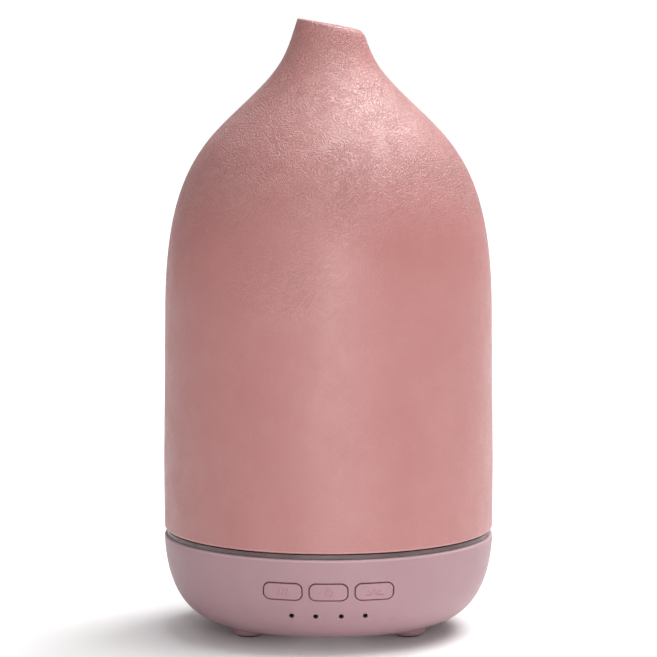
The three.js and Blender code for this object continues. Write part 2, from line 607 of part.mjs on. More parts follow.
function leads() {
  const fanRoute = [
    [-15.9, 4, 9], [-17, 2.6, 9.2], [-17, -2, 11], [-15.2, -6.1, 13.6], [-12.8, -6.9, 14], [-12.5, -7.7, 14],
  ];
  addPiece("fan_lead", lead(fanRoute, 0.7, 12), RED_LEAD);
  const transducerRoute = [
    [3.5, 0.5, 27.1], [3.6, 0, 24.6], [6.5, -5.2, 22.5], [12, -7.8, 19], [12.5, -9.9, 14.5], [12.5, -10, 12],
  ];
  addPiece("transducer_lead", lead(transducerRoute, 0.7, 14), RED_LEAD);
  const powerRoute = [
    [-3, 27.2, 12], [-3.3, 26.6, 11.9], [-7, 26.2, 10.5], [-13.5, 26.4, 9.2],
    [-17.2, 22, 9], [-17.2, 12.5, 9], [-18.9, 4, 8.4], [-20.6, -3, 10.5],
    [-18.2, -7.4, 13.9], [-17.1, -9.3, 13.4], [-17, -9.4, 12.1],
  ];
  addPiece("power_lead", lead(powerRoute, 0.8, 30), BLACK);
  const lightRoute = [
    [-23, -8.4, 28.5], [-23.3, -9.4, 25.5], [-23, -13, 19],
    [-22.5, -17.6, 15], [-22.4, -18, 12.1],
  ];
  addPiece("light_lead", lead(lightRoute, 0.7, 12), WHITE_RUBBER);
  const fold = new THREE.Shape();
  fold.moveTo(-26.2, 12);
  fold.quadraticCurveTo(-26.2, 15.8, -28.5, 15.8);
  fold.lineTo(-28.5, 15.2);
  fold.quadraticCurveTo(-26.8, 15.2, -26.8, 12);
  const ribbon = new THREE.ExtrudeGeometry(fold, { depth: 8, bevelEnabled: false, curveSegments: 4 });
  const upright = new THREE.Matrix4().makeBasis(
    new THREE.Vector3(0, 1, 0), new THREE.Vector3(0, 0, 1), new THREE.Vector3(1, 0, 0),
  );
  addPiece("board_ribbon", solid(ribbon, move(5, 0, 0).multiply(upright)), WHITE_RUBBER);
}

// ---------- Buttons ----------
// A cap that follows the shell's outside, a curved flange behind the wall, and a pusher onto the switch.
function buttonCap(side) {
  const x = side * BUTTON_PITCH;
  const face = roundedRectangle(BUTTON.w, BUTTON.h, BUTTON.r);
  const flange = roundedRectangle(BUTTON.w + 1.5, BUTTON.h + 2.2, BUTTON.r);
  const proud = filled(inset(baseOutline(), -BUTTON_PROUD));
  const behindWall = filled(inset(baseOutline(), PLASTIC + GAP));
  const flangeBack = filled(inset(baseOutline(), PLASTIC + GAP + FLANGE_T));
  const cap = without(frontPlate(face, x, BUTTON_Z, OUTSIDE_Y, BEHIND_Y).intersect(proud), flangeBack);
  const flangeBlock = frontPlate(flange, x, BUTTON_Z, OUTSIDE_Y, BEHIND_Y);
  const skirt = without(flangeBlock.intersect(behindWall), flangeBack);
  const pusher = rodY(1.4, -40, STEM_TIP - GAP, x, BUTTON_Z).intersect(proud);
  return union(cap, skirt, pusher);
}

// ---------- Assembly ----------
addPiece("ceramic_cover", ceramicCover(), CERAMIC_PINK);
addPiece("seat_ring", seatRing(), SMOKE);
addPiece("inner_lid", innerLid(), MILK);
addPiece("water_tank", waterTank(), MILK);
addPiece("tank_gasket", tankGasket(), WHITE_RUBBER);
addPiece("base_shell", baseShell(), SHELL_PINK);
addPiece("bottom_cover", bottomCover(), SHELL_PINK);
for (const [use, side] of BUTTONS) addPiece(`${use}_button`, buttonCap(side), BUTTON_PINK);
addPiece("dc_socket", powerSocket(), BLACK);
feetAndScrews();
transducer();
fanGroup();
mainComponents();
controlComponents();
glowGroup();
leads();

export default part;
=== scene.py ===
"""Blender model of an essential oil diffuser: a ceramic cover with a slanted spout, on a round base."""
import json
import math

import bmesh
import bpy
from mathutils import Matrix, Vector


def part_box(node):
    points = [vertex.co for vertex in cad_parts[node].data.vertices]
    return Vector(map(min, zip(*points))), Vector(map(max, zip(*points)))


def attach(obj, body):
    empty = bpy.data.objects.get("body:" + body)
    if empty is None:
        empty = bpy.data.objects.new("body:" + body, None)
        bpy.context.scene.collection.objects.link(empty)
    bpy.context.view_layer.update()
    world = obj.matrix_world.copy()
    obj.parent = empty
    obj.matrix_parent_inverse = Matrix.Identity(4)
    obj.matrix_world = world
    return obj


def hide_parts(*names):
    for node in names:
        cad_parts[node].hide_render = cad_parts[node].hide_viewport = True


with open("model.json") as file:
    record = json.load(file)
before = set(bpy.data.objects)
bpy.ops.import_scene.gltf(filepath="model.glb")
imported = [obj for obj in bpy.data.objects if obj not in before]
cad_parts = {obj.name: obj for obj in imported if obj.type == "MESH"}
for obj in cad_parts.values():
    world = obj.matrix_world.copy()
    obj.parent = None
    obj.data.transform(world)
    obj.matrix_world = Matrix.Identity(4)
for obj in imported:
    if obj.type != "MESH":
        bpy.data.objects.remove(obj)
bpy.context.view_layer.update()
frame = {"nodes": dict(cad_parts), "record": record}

MM = 0.001
SCENE = bpy.context.scene


def box_mm(node):
    """Lowest and highest corner of a CAD node, in millimetres."""
    low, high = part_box(node)
    return low / MM, high / MM


# ---------- Sizes taken from the frame, in millimetres ----------
COVER_LOW, COVER_HIGH = box_mm("ceramic_cover")
SHELL_LOW, SHELL_HIGH = box_mm("base_shell")
RING_HIGH = box_mm("seat_ring")[1]
LID_LOW, LID_HIGH = box_mm("inner_lid")
TANK_TOP = box_mm("water_tank")[1].z

BODY_R = COVER_HIGH.x
SEAM_HIGH = COVER_LOW.z
SEAM_LOW = SHELL_HIGH.z
BOTTOM_Z = SHELL_LOW.z

# ---------- Sizes of the design that the frame doesn't hold, in millimetres ----------
CERAMIC = 2.8  # wall of the cover
PLASTIC = 2.3  # wall of the base shell
GAP = 0.3  # between pieces that touch
RIM_TILT = math.radians(10.4)  # the rim is lower towards +X
RIM_LEAN = math.radians(1.0)  # the front of the rim is a little higher than its rear
RIM_Z = COVER_HIGH.z - 1.5  # height of the slanted rim at the axis
SHOULDER_START, NECK_START = (43.5, 86), (28.65, 134.5)  # radius and height
SPOUT_START, SPOUT_END = (12.4, 152), (8.1, 163.4)
BOTTOM_R = 31.8  # opening of the base shell that the bottom cover fills
LEDGE_Z = BOTTOM_Z + 2.5  # ledge of the base shell that the bottom cover is pulled against
FILL_Z = 61  # the fill line inside the tank
ROUND = 192  # facets of a large round piece
HAIR = 0.0005  # points closer than this are one point


# ---------- Outlines: lists of (radius, height) ----------
def bezier(a, b, c, d, steps):
    """Points along a cubic curve from a to d, pulled towards b and c."""
    points = []
    for i in range(steps + 1):
        t = i / steps
        u = 1 - t
        weights = (u ** 3, 3 * u * u * t, 3 * u * t * t, t ** 3)
        points.append(tuple(sum(w * p[k] for w, p in zip(weights, (a, b, c, d))) for k in (0, 1)))
    return points


def inset(points, distance):
    """An outline that runs bottom to top, moved inwards by a distance."""
    moved = []
    for i, (r, z) in enumerate(points):
        ar, az = points[max(i - 1, 0)]
        br, bz = points[min(i + 1, len(points) - 1)]
        length = math.hypot(br - ar, bz - az)
        moved.append((r - distance * (bz - az) / length, z + distance * (br - ar) / length))
    return moved


def soften(points, radius, steps=4, corner=math.radians(22), closed=True):
    """An outline with each real corner rounded to about the radius."""
    result = []
    count = len(points)
    for i, here in enumerate(points):
        if not closed and i in (0, count - 1):
            result.append(tuple(here))
            continue
        here = Vector(here)
        into = Vector(points[i - 1]) - here
        out = Vector(points[(i + 1) % count]) - here
        turn = math.pi - into.angle(out)
        if turn < corner:
            result.append(tuple(here))
            continue
        reach = min(radius * math.tan(turn / 2), 0.45 * into.length, 0.45 * out.length)
        start = here + into.normalized() * reach
        end = here + out.normalized() * reach
        for k in range(steps + 1):
            t = k / steps
            result.append(tuple((1 - t) ** 2 * start + 2 * t * (1 - t) * here + t * t * end))
    return result


def cover_outline():
    """Outside of the ceramic cover above its foot, bottom to top."""
    body = [(BODY_R - 0.05, SEAM_HIGH + 6), (BODY_R, SEAM_HIGH + 18), (43.87, 56), (43.72, 66), (43.6, 76)]
    shoulder = bezier(SHOULDER_START, (43.25, 112), (38.5, 124.3), NECK_START, 36)
    neck = bezier(NECK_START, (23.1, 140.3), (15.9, 145.9), SPOUT_START, 20)
    spout = bezier(SPOUT_START, (10.4, 155.5), (9.3, 159.6), SPOUT_END, 12)
    above_the_rim = (7.3, 166)
    return body + shoulder + neck[1:] + spout[1:] + [above_the_rim]


def base_outline(steps=36):
    """Outside of the base, bottom to top."""
    return bezier((BOTTOM_R, BOTTOM_Z), (37.4, 4.9), (43.3, 10.6), (BODY_R - 0.05, SEAM_LOW - 0.5), steps)


def radius_at(outline, height):
    """Radius of a bottom-to-top outline at a height."""
    for (ar, az), (br, bz) in zip(outline, outline[1:]):
        if az <= height <= bz:
            return ar + (br - ar) * (height - az) / (bz - az)
    return outline[-1][0] if height > outline[-1][1] else outline[0][0]


# ---------- Meshes ----------
def new_piece(name, bm):
    """A Blender object from a bmesh in millimetres, with its faces pointing out."""
    bmesh.ops.remove_doubles(bm, verts=bm.verts, dist=1e-5)
    bmesh.ops.recalc_face_normals(bm, faces=bm.faces)
    if bm.calc_volume(signed=True) < 0:
        bmesh.ops.reverse_faces(bm, faces=bm.faces)
    bmesh.ops.scale(bm, vec=(MM, MM, MM), verts=bm.verts)
    mesh = bpy.data.meshes.new(name)
    bm.to_mesh(mesh)
    bm.free()
    piece = bpy.data.objects.new(name, mesh)
    SCENE.collection.objects.link(piece)
    mesh.shade_smooth()
    return piece


def loft(name, rings):
    """A closed piece through rings of equal length, in millimetres; its ends close on their middles."""
    bm = bmesh.new()
    rows = [[bm.verts.new(p) for p in ring] for ring in rings]
    count = len(rows[0])
    for low, high in zip(rows, rows[1:]):
        for i in range(count):
            k = (i + 1) % count
            bm.faces.new((low[i], low[k], high[k], high[i]))
    for row in (rows[0], rows[-1]):
        middle = bm.verts.new(sum((v.co for v in row), Vector()) / count)
        for i in range(count):
            bm.faces.new((row[i], row[(i + 1) % count], middle))
    return new_piece(name, bm)


def revolve_by(name, meridian):
    """A piece whose closed outline at each angle is meridian(angle), all of equal length."""
    bm = bmesh.new()
    columns = []
    for i in range(ROUND):
        angle = 2 * math.pi * i / ROUND
        direction = Vector((math.cos(angle), math.sin(angle), 0))
        columns.append([bm.verts.new(direction * r + Vector((0, 0, z))) for r, z in meridian(angle)])
    count = len(columns[0])
    for i, column in enumerate(columns):
        following = columns[(i + 1) % ROUND]
        for k in range(count):
            n = (k + 1) % count
            bm.faces.new((column[k], following[k], following[n], column[n]))
    return new_piece(name, bm)


def revolve(name, outline, segments=ROUND):
    """A piece of revolution. The outline closes on itself, or starts and ends on the axis."""
    bm = bmesh.new()
    on_axis = [abs(r) < 1e-9 for r, z in outline]
    poles = {k: bm.verts.new((0, 0, outline[k][1])) for k, pole in enumerate(on_axis) if pole}
    columns = []
    for i in range(segments):
        angle = 2 * math.pi * i / segments
        x, y = math.cos(angle), math.sin(angle)
        columns.append([
            poles[k] if on_axis[k] else bm.verts.new((r * x, r * y, z)) for k, (r, z) in enumerate(outline)
        ])
    count = len(outline)
    for i, column in enumerate(columns):
        following = columns[(i + 1) % segments]
        for k in range(count):
            n = (k + 1) % count
            if on_axis[k] and on_axis[n]:
                continue
            corners = dict.fromkeys((column[k], following[k], following[n], column[n]))
            bm.faces.new(list(corners))
    return new_piece(name, bm)


def bake(piece):
    """Applies the modifiers of a piece to its mesh."""
    evaluated = piece.evaluated_get(bpy.context.evaluated_depsgraph_get())
    mesh = bpy.data.meshes.new_from_object(evaluated)
    piece.modifiers.clear()
    piece.data = mesh
    return piece


def weld(piece):
    """Collapses the edges of almost no length that cuts leave behind."""
    bm = bmesh.new()
    bm.from_mesh(piece.data)
    bmesh.ops.dissolve_degenerate(bm, dist=HAIR * MM, edges=bm.edges)
    bm.to_mesh(piece.data)
    bm.free()


def combine(piece, others, operation):
    """Cuts the other pieces from this one, or joins them to it, and deletes them."""
    for other in others:
        change = piece.modifiers.new("boolean", "BOOLEAN")
        change.operation = operation
        change.solver = "MANIFOLD"
        change.object = other
    bake(piece)
    weld(piece)
    for other in others:
        bpy.data.objects.remove(other)
    return piece


def crisp(piece, angle=40):
    """Smooth shading with sharp real edges, and flat faces that stay flat."""
    piece.data.shade_smooth()
    piece.data.set_sharp_from_angle(angle=math.radians(angle))
    weighted = piece.modifiers.new("weighted", "WEIGHTED_NORMAL")
    weighted.keep_sharp = True
    return bake(piece)


def move_to(piece, x, y, z=0, turn=None):
    """Moves a piece's mesh, in millimetres, after an optional turn."""
    matrix = Matrix.Translation(Vector((x, y, z)) * MM)
    piece.data.transform(matrix @ turn if turn else matrix)
    return piece


TO_FRONT = Matrix.Rotation(math.pi / 2, 4, "X")  # a lathe axis that pointed up points to -Y


def rod(r, low, high, x=0, y=0, soft=0.2, steps=32):
    """A round upright rod with softened rims."""
    outline = soften([(0, low), (r, low), (r, high), (0, high)], soft, closed=False)
    return move_to(revolve("rod", outline, steps), x, y)


def rod_y(r, front, rear, x, z, soft=0.2, steps=32):
    """A round rod that lies along Y, with softened rims."""
    outline = soften([(0, -rear), (r, -rear), (r, -front), (0, -front)], soft, closed=False)
    return move_to(revolve("rod", outline, steps), x, 0, z, TO_FRONT)


def block(name, x0, x1, y0, y1, z0, z1, r=0.4):
    """A box with rounded upright edges and softened rims."""
    w, d = x1 - x0, y1 - y0
    mid_x, mid_y = (x0 + x1) / 2, (y0 + y1) / 2
    rings = []
    for offset, z in soften([(-r, z0), (0, z0), (0, z1), (-r, z1)], r * 0.8, closed=False):
        rings.append([(mid_x + x, mid_y + y, z) for x, y in rounded_rectangle(w, d, r * 1.5, offset)])
    return loft(name, rings)


def rounded_rectangle(w, h, r, offset=0, corner_steps=8, side_steps=6):
    """Points round a rectangle with round corners, moved outwards by an offset."""
    r = max(r + offset, 0.02)
    half_w, half_h = w / 2 + offset - r, h / 2 + offset - r
    points = []
    for quarter, (sx, sy) in enumerate(((1, 1), (-1, 1), (-1, -1), (1, -1))):
        centre = (sx * half_w, sy * half_h)
        for k in range(corner_steps + 1):
            a = (quarter + k / corner_steps) * math.pi / 2
            points.append((centre[0] + r * math.cos(a), centre[1] + r * math.sin(a)))
        nx, ny = ((-1, 1), (-1, -1), (1, -1), (1, 1))[quarter]
        following = (nx * half_w, ny * half_h)
        end = (quarter + 1) * math.pi / 2
        for k in range(1, side_steps):
            t = k / side_steps
            x = centre[0] + (following[0] - centre[0]) * t + r * math.cos(end)
            y = centre[1] + (following[1] - centre[1]) * t + r * math.sin(end)
            points.append((x, y))
    return points


def circle(r, offset=0, steps=40):
    """Points round a circle that is moved outwards by an offset."""
    angles = [2 * math.pi * i / steps for i in range(steps)]
    return [((r + offset) * math.cos(a), (r + offset) * math.sin(a)) for a in angles]


# ---------- Materials ----------
def linear(code):
    """Linear colour from six sRGB hex digits."""
    channels = [int(code[i:i + 2], 16) / 255 for i in (0, 2, 4)]
    return tuple(c / 12.92 if c <= 0.04045 else ((c + 0.055) / 1.055) ** 2.4 for c in channels) + (1.0,)


class Recipe:
    """A material's node tree, built by short calls. Its sizes are in millimetres."""

    def __init__(self, name, **sockets):
        self.material = bpy.data.materials.new(name)
        self.material.use_nodes = True
        self.tree = self.material.node_tree
        self.tree.nodes.clear()
        self.shader = self.tree.nodes.new("ShaderNodeBsdfPrincipled")
        output = self.tree.nodes.new("ShaderNodeOutputMaterial")
        self.tree.links.new(self.shader.outputs["BSDF"], output.inputs["Surface"])
        for socket, value in sockets.items():
            self.shader.inputs[socket.replace("_", " ")].default_value = value
        self.place = self.tree.nodes.new("ShaderNodeTexCoord").outputs["Object"]
        self.normal = None

    def feed(self, socket, value):
        if isinstance(value, bpy.types.NodeSocket):
            self.tree.links.new(value, socket)
        else:
            socket.default_value = value

    def node(self, kind, inputs, output=0, **settings):
        made = self.tree.nodes.new(kind)
        for key, value in settings.items():
            setattr(made, key, value)
        for socket, value in inputs.items():
            self.feed(made.inputs[socket], value)
        return made.outputs[output]

    def noise(self, size, detail=2, rough=0.5, at=None):
        inputs = {"Vector": at or self.place, "Scale": 1 / (size * MM), "Detail": detail, "Roughness": rough}
        return self.node("ShaderNodeTexNoise", inputs, "Fac")

    def cells(self, size):
        """Distance to the middle of the nearest cell, in cells."""
        inputs = {"Vector": self.place, "Scale": 1 / (size * MM)}
        return self.node("ShaderNodeTexVoronoi", inputs, "Distance")

    def bands(self, size, axis="Z", distortion=0):
        """Waves a size apart: the node's own waves are 0.314 units long at a scale of one."""
        inputs = {"Vector": self.place, "Scale": 0.314 / (size * MM), "Distortion": distortion, "Detail": 0}
        return self.node("ShaderNodeTexWave", inputs, "Fac", bands_direction=axis)

    def stretched(self, scale):
        """Coordinates scaled along X, Y and Z: a larger scale gives a finer pattern."""
        return self.node("ShaderNodeMapping", {"Vector": self.place, "Scale": scale})

    def vector(self, operation, a, b=(0, 0, 0), **inputs):
        return self.node("ShaderNodeVectorMath", {0: a, 1: b, **inputs}, operation=operation)

    def mix(self, factor, a, b):
        return self.node("ShaderNodeMix", {0: factor, 2: a, 3: b}, data_type="FLOAT")

    def strokes(self, size, length, lean, samples):
        """Noise smeared over a length along the surface, in a direction that leans from level by an angle."""
        normal = self.place.node.outputs["Normal"]
        level = self.vector("NORMALIZE", self.vector("CROSS_PRODUCT", (0, 0, 1), normal))
        upward = self.vector("CROSS_PRODUCT", normal, level)
        across = self.vector("SCALE", level, Scale=math.cos(lean))
        direction = self.vector("ADD", across, self.vector("SCALE", upward, Scale=math.sin(lean)))
        total = None
        for k in range(samples):
            reach = length * MM * (k / (samples - 1) - 0.5)
            place = self.vector("ADD", self.place, self.vector("SCALE", direction, Scale=reach))
            sample = self.noise(size, 0, at=place)
            total = self.maths("ADD", total, sample) if total else sample
        return self.maths("DIVIDE", total, samples)

    def distance_to(self, point):
        """Distance in millimetres from a point that is given in millimetres."""
        inputs = {0: self.place, 1: tuple(v * MM for v in point)}
        metres = self.node("ShaderNodeVectorMath", inputs, "Value", operation="DISTANCE")
        return self.maths("DIVIDE", metres, MM)

    def height(self):
        return self.node("ShaderNodeSeparateXYZ", {"Vector": self.place}, "Z")

    def maths(self, operation, a, b=0.0):
        return self.node("ShaderNodeMath", {0: a, 1: b}, operation=operation)

    def remap(self, value, low, high, to_low=0.0, to_high=1.0, smooth=False):
        kind = "SMOOTHSTEP" if smooth else "LINEAR"
        inputs = {"Value": value, "From Min": low, "From Max": high, "To Min": to_low, "To Max": to_high}
        return self.node("ShaderNodeMapRange", inputs, interpolation_type=kind)

    def blend(self, factor, a, b):
        return self.node("ShaderNodeMix", {0: factor, 6: a, 7: b}, 2, data_type="RGBA")

    def bump(self, height, depth):
        inputs = {"Height": height, "Distance": depth * MM}
        if self.normal:
            inputs["Normal"] = self.normal
        self.normal = self.node("ShaderNodeBump", inputs)
        self.feed(self.shader.inputs["Normal"], self.normal)

    def colour(self, value):
        self.feed(self.shader.inputs["Base Color"], value)

    def rough(self, value):
        self.feed(self.shader.inputs["Roughness"], value)


# The grain of the glaze, in millimetres
GRAIN_LEAN = math.radians(48)  # the strokes lean this much from level, to one side or the other
GRAIN_WIDTH, GRAIN_LENGTH = 0.25, 0.42
GRAIN_SAMPLES = 4
GRAIN_DEPTH = 0.19
GRAIN_STARTS, GRAIN_FULL = 102, 124  # heights
WORN_PLACE, WORN_IN, WORN_OUT = (-14, -41, 98), 7.0, 19.0  # a lower patch of grain, and its two radii


def ceramic():
    """Matt pink glaze over a leathery grain, strongest on the shoulder and neck."""
    m = Recipe("ceramic_glaze", Specular_IOR_Level=1.0, Sheen_Weight=0.03, Sheen_Roughness=0.4)
    leans = (GRAIN_LEAN, math.pi - GRAIN_LEAN)
    one_way, other_way = (m.strokes(GRAIN_WIDTH, GRAIN_LENGTH, lean, GRAIN_SAMPLES) for lean in leans)
    side = m.remap(m.noise(4, detail=1), 0.45, 0.55)
    strokes = m.remap(m.mix(side, one_way, other_way), 0.42, 0.58, smooth=True)
    pores = m.noise(0.3, detail=1)
    grain = m.maths("ADD", strokes, m.maths("MULTIPLY", pores, 0.5))
    shoulder = m.remap(m.height(), GRAIN_STARTS * MM, GRAIN_FULL * MM, 0.08, 1.0, smooth=True)
    worn = m.remap(m.distance_to(WORN_PLACE), WORN_IN, WORN_OUT, 0.38, 0.0, smooth=True)
    patches = m.remap(m.noise(15, detail=2), 0.38, 0.60, 0.7, 1.05)
    depth = m.maths("MULTIPLY", m.maths("MAXIMUM", shoulder, worn), patches)
    m.bump(m.maths("MULTIPLY", grain, depth), GRAIN_DEPTH)
    m.bump(m.noise(9, detail=1), 0.06)
    m.bump(m.noise(0.22, detail=2), 0.004)
    cloud = m.remap(m.noise(14, detail=4, rough=0.6), 0.35, 0.65)
    base = m.blend(cloud, linear("b1716e"), linear("b57774"))
    # painted shade: the creases of the grain are darkened towards 9a5e5c
    painted_crease_shade = m.remap(strokes, 0.0, 0.5, 0.22, 0.0)
    shaded = m.blend(m.maths("MULTIPLY", painted_crease_shade, depth), base, linear("9a5e5c"))
    # painted highlight: the raised tips of the grain are lightened towards dcb6b3; the same mask also lowers
    # the roughness there
    tip_highlight_and_gloss = m.remap(strokes, 0.6, 1.0, 0.0, 0.2)
    tip_highlighted = m.blend(m.maths("MULTIPLY", tip_highlight_and_gloss, depth), shaded, linear("dcb6b3"))
    specks = m.remap(m.cells(2.6), 0.0, 0.05, 0.35, 0.0)
    speckled = m.blend(specks, tip_highlighted, linear("a8706c"))
    # painted highlight: a lighter band just above the foot's edge, where its rounding would catch light
    edge = m.remap(m.height(), (SEAM_HIGH + 0.15) * MM, (SEAM_HIGH + 0.7) * MM, 0.55, 0.0)
    m.colour(m.blend(edge, speckled, linear("d3a09d")))  # painted highlight along the foot's edge
    rough = m.remap(m.noise(5, detail=3), 0.3, 0.7, 0.44, 0.56)
    m.rough(m.maths("SUBTRACT", rough, m.maths("MULTIPLY", tip_highlight_and_gloss, 0.6)))
    return m.material


def moulded(name, light, dark, rough=0.45, grain=0.35, depth=0.008, highlight_rim_z=None):
    """Injection-moulded plastic: faint clouding, fine eroded grain, a few handling marks in the gloss.
    A rim at a height gets a painted highlight, a lighter band."""
    m = Recipe(name, Specular_IOR_Level=0.3)
    cloud = m.remap(m.noise(18, detail=3, rough=0.6), 0.35, 0.65)
    colour = m.blend(cloud, linear(dark), linear(light))
    if highlight_rim_z:
        # painted highlight: a lighter band just under the rim at this height
        rim_highlight = m.remap(m.height(), (highlight_rim_z - 0.9) * MM, (highlight_rim_z - 0.3) * MM, 0.0, 0.55, smooth=True)
        colour = m.blend(rim_highlight, colour, linear("cdb0b5"))
    m.colour(colour)
    m.bump(m.noise(grain, detail=3, rough=0.6), depth)
    m.bump(m.noise(16, detail=1), 0.05)
    smears = m.noise(6, detail=4, rough=0.7, at=m.stretched((1, 1, 2.5)))
    m.rough(m.remap(smears, 0.3, 0.7, rough - 0.05, rough + 0.07))
    return m.material


def seam_shade_silicone():
    """Soft dark silicone, faintly banded where it was moulded; its dark colour is partly painted shade of the
    seam gap.
    """
    m = Recipe("seam_shade_silicone", Specular_IOR_Level=0.5, Subsurface_Weight=0.15, Subsurface_Scale=0.002)
    cloud = m.remap(m.noise(7, detail=3), 0.35, 0.65)
    m.colour(m.blend(cloud, linear("5d4e50"), linear("6c5c5d")))
    m.bump(m.noise(0.4, detail=2), 0.01)
    m.bump(m.bands(0.35), 0.004)
    m.rough(m.remap(m.noise(3), 0.3, 0.7, 0.34, 0.46))
    return m.material


def milky_plastic():
    """Translucent white plastic with a faint flow pattern and a water-stained band."""
    m = Recipe("milky_plastic", Specular_IOR_Level=0.5, Transmission_Weight=0.28, Subsurface_Weight=0.25,
               Subsurface_Scale=0.003)
    flow = m.remap(m.noise(12, detail=3, at=m.stretched((1, 1, 0.3))), 0.35, 0.65)
    clean = m.blend(flow, linear("e6e6e1"), linear("f1f1ed"))
    wet = m.remap(m.height(), (FILL_Z - 3) * MM, (FILL_Z + 1) * MM, 0.16, 0.0, smooth=True)
    stain = m.maths("MULTIPLY", wet, m.remap(m.noise(3, detail=4), 0.4, 0.7))
    m.colour(m.blend(stain, clean, linear("d3cfc2")))
    m.bump(m.noise(0.5, detail=3), 0.01)
    m.rough(m.remap(m.noise(4, detail=3), 0.3, 0.7, 0.3, 0.45))
    return m.material


def rubber(name, light, dark, rough=0.75, dust=0.0):
    """Matt rubber with a fine grain and, where dust is given, pale specks."""
    m = Recipe(name, Specular_IOR_Level=0.35)
    cloud = m.remap(m.noise(4, detail=4, rough=0.65), 0.35, 0.65)
    body = m.blend(cloud, linear(dark), linear(light))
    grains = m.remap(m.noise(0.35, detail=3), 0.55, 0.75, 0.0, dust)
    m.colour(m.blend(grains, body, linear("b9b3aa")))
    m.bump(m.noise(0.3, detail=3, rough=0.6), 0.015)
    m.rough(m.remap(m.noise(2), 0.3, 0.7, rough - 0.06, rough + 0.08))
    return m.material


def circuit_board(name, mask, trace):
    """Solder mask over copper tracks, with small plated pads."""
    m = Recipe(name, Specular_IOR_Level=0.55, Coat_Weight=0.35, Coat_Roughness=0.15)
    square = m.node("ShaderNodeTexBrick", {"Vector": m.place, "Scale": 260.0, "Mortar Size": 0.08,
                                          "Mortar Smooth": 0.2}, "Fac")
    lines = m.remap(m.bands(1.3, axis="DIAGONAL", distortion=1.5), 0.62, 0.7)
    tracks = m.maths("MAXIMUM", square, m.maths("MULTIPLY", lines, m.remap(m.noise(5), 0.48, 0.52)))
    board = m.blend(tracks, linear(mask), linear(trace))
    pads = m.remap(m.cells(2.2), 0.14, 0.16, 1.0, 0.0)
    m.colour(m.blend(pads, board, linear("b9b7ae")))
    m.bump(tracks, 0.03)
    m.rough(m.remap(m.noise(3), 0.3, 0.7, 0.3, 0.42))
    return m.material


def metal(name, light, dark, rough=0.3, grain=(1, 1, 12), anisotropic=0.3):
    """Brushed metal; the grain says along which axes its streaks are fine."""
    m = Recipe(name, Metallic=1.0, Anisotropic=anisotropic)
    streaks = m.noise(1.6, detail=4, rough=0.6, at=m.stretched(grain))
    m.colour(m.blend(m.remap(streaks, 0.35, 0.65), linear(dark), linear(light)))
    m.bump(streaks, 0.006)
    m.rough(m.remap(m.noise(0.8, detail=3), 0.3, 0.7, rough - 0.06, rough + 0.1))
    return m.material


def copper_coil():
    """Enamelled wire wound in turns."""
    m = Recipe("copper_coil", Metallic=1.0, Coat_Weight=0.6, Coat_Roughness=0.12)
    turns = m.bands(0.5, distortion=0.4)
    m.colour(m.blend(turns, linear("7a3f1c"), linear("c97f4c")))
    m.bump(turns, 0.15)
    m.rough(m.remap(m.noise(1.5), 0.3, 0.7, 0.25, 0.4))
    return m.material


def led_lens():
    m = Recipe("led_lens", Transmission_Weight=0.3, Coat_Weight=0.5, Coat_Roughness=0.08)
    phosphor = m.remap(m.noise(0.8, detail=3), 0.4, 0.6)
    m.colour(m.blend(phosphor, linear("f2ecc4"), linear("fbfaf0")))
    m.bump(m.noise(0.5), 0.01)
    m.rough(m.remap(m.noise(0.6), 0.3, 0.7, 0.15, 0.28))
    return m.material


# Near-black smoked plastic for the light guide; its darkness is partly painted shade, so that the lamp holes
# read black.
def smoked_plastic():
    m = Recipe("smoked_plastic", Transmission_Weight=0.25, IOR=1.49)
    m.colour(m.blend(m.remap(m.noise(2), 0.3, 0.7), linear("1a1718"), linear("242022")))
    m.bump(m.noise(0.6, detail=2), 0.01)
    m.rough(m.remap(m.noise(0.8, detail=2), 0.3, 0.7, 0.12, 0.24))
    return m.material


def piezo_disc():
    """A silvered electrode with a duller ceramic rim."""
    m = Recipe("piezo_disc", Metallic=1.0, Anisotropic=0.2)
    flat = m.node("ShaderNodeVectorMath", {0: m.place, 1: (1, 1, 0)}, operation="MULTIPLY")
    radius = m.node("ShaderNodeVectorMath", {0: flat}, "Value", operation="LENGTH")
    rim = m.remap(radius, 0.0062, 0.0065)
    rings = m.noise(0.7, detail=3, at=flat)
    silver = m.blend(rings, linear("a9abae"), linear("cfd1d2"))
    m.colour(m.blend(rim, silver, linear("8d8574")))
    m.bump(rings, 0.01)
    m.rough(m.remap(m.noise(1.2, detail=3), 0.3, 0.7, 0.28, 0.45))
    return m.material


FINISHES = {
    "ceramic": ceramic(),
    "shell_plastic": moulded("shell_plastic", "ae8c92", "aa888e", rough=0.44, highlight_rim_z=SEAM_LOW),
    "button_plastic": moulded("button_plastic", "b18b92", "ad878e", rough=0.4),
    "ring_silicone": seam_shade_silicone(),
    "milky_plastic": milky_plastic(),
    "white_silicone": rubber("white_silicone", "e2dfd8", "d3cfc6", rough=0.6),
    "foot_rubber": rubber("foot_rubber", "3d3c3e", "2a292b", rough=0.8, dust=0.35),
    "black_plastic": moulded("black_plastic", "222224", "17171a", rough=0.42, grain=0.25, depth=0.015),
    "circuit_board": circuit_board("circuit_board", "14502f", "2f7a4a"),
    "white_board": circuit_board("white_board", "dededa", "c9c9c2"),
    "steel": metal("steel", "c8c9cb", "a7a8ab"),
    "aluminium": metal("aluminium", "b9bcc0", "9b9ea3", rough=0.38, grain=(12, 1, 1)),
    "copper": copper_coil(),
    "led_lens": led_lens(),
    "smoked_plastic": smoked_plastic(),
    "red_lead": rubber("red_lead", "a92626", "8f1c1c", rough=0.5),
    "black_lead": rubber("black_lead", "262628", "19191b", rough=0.5),
}
PIEZO = piezo_disc()
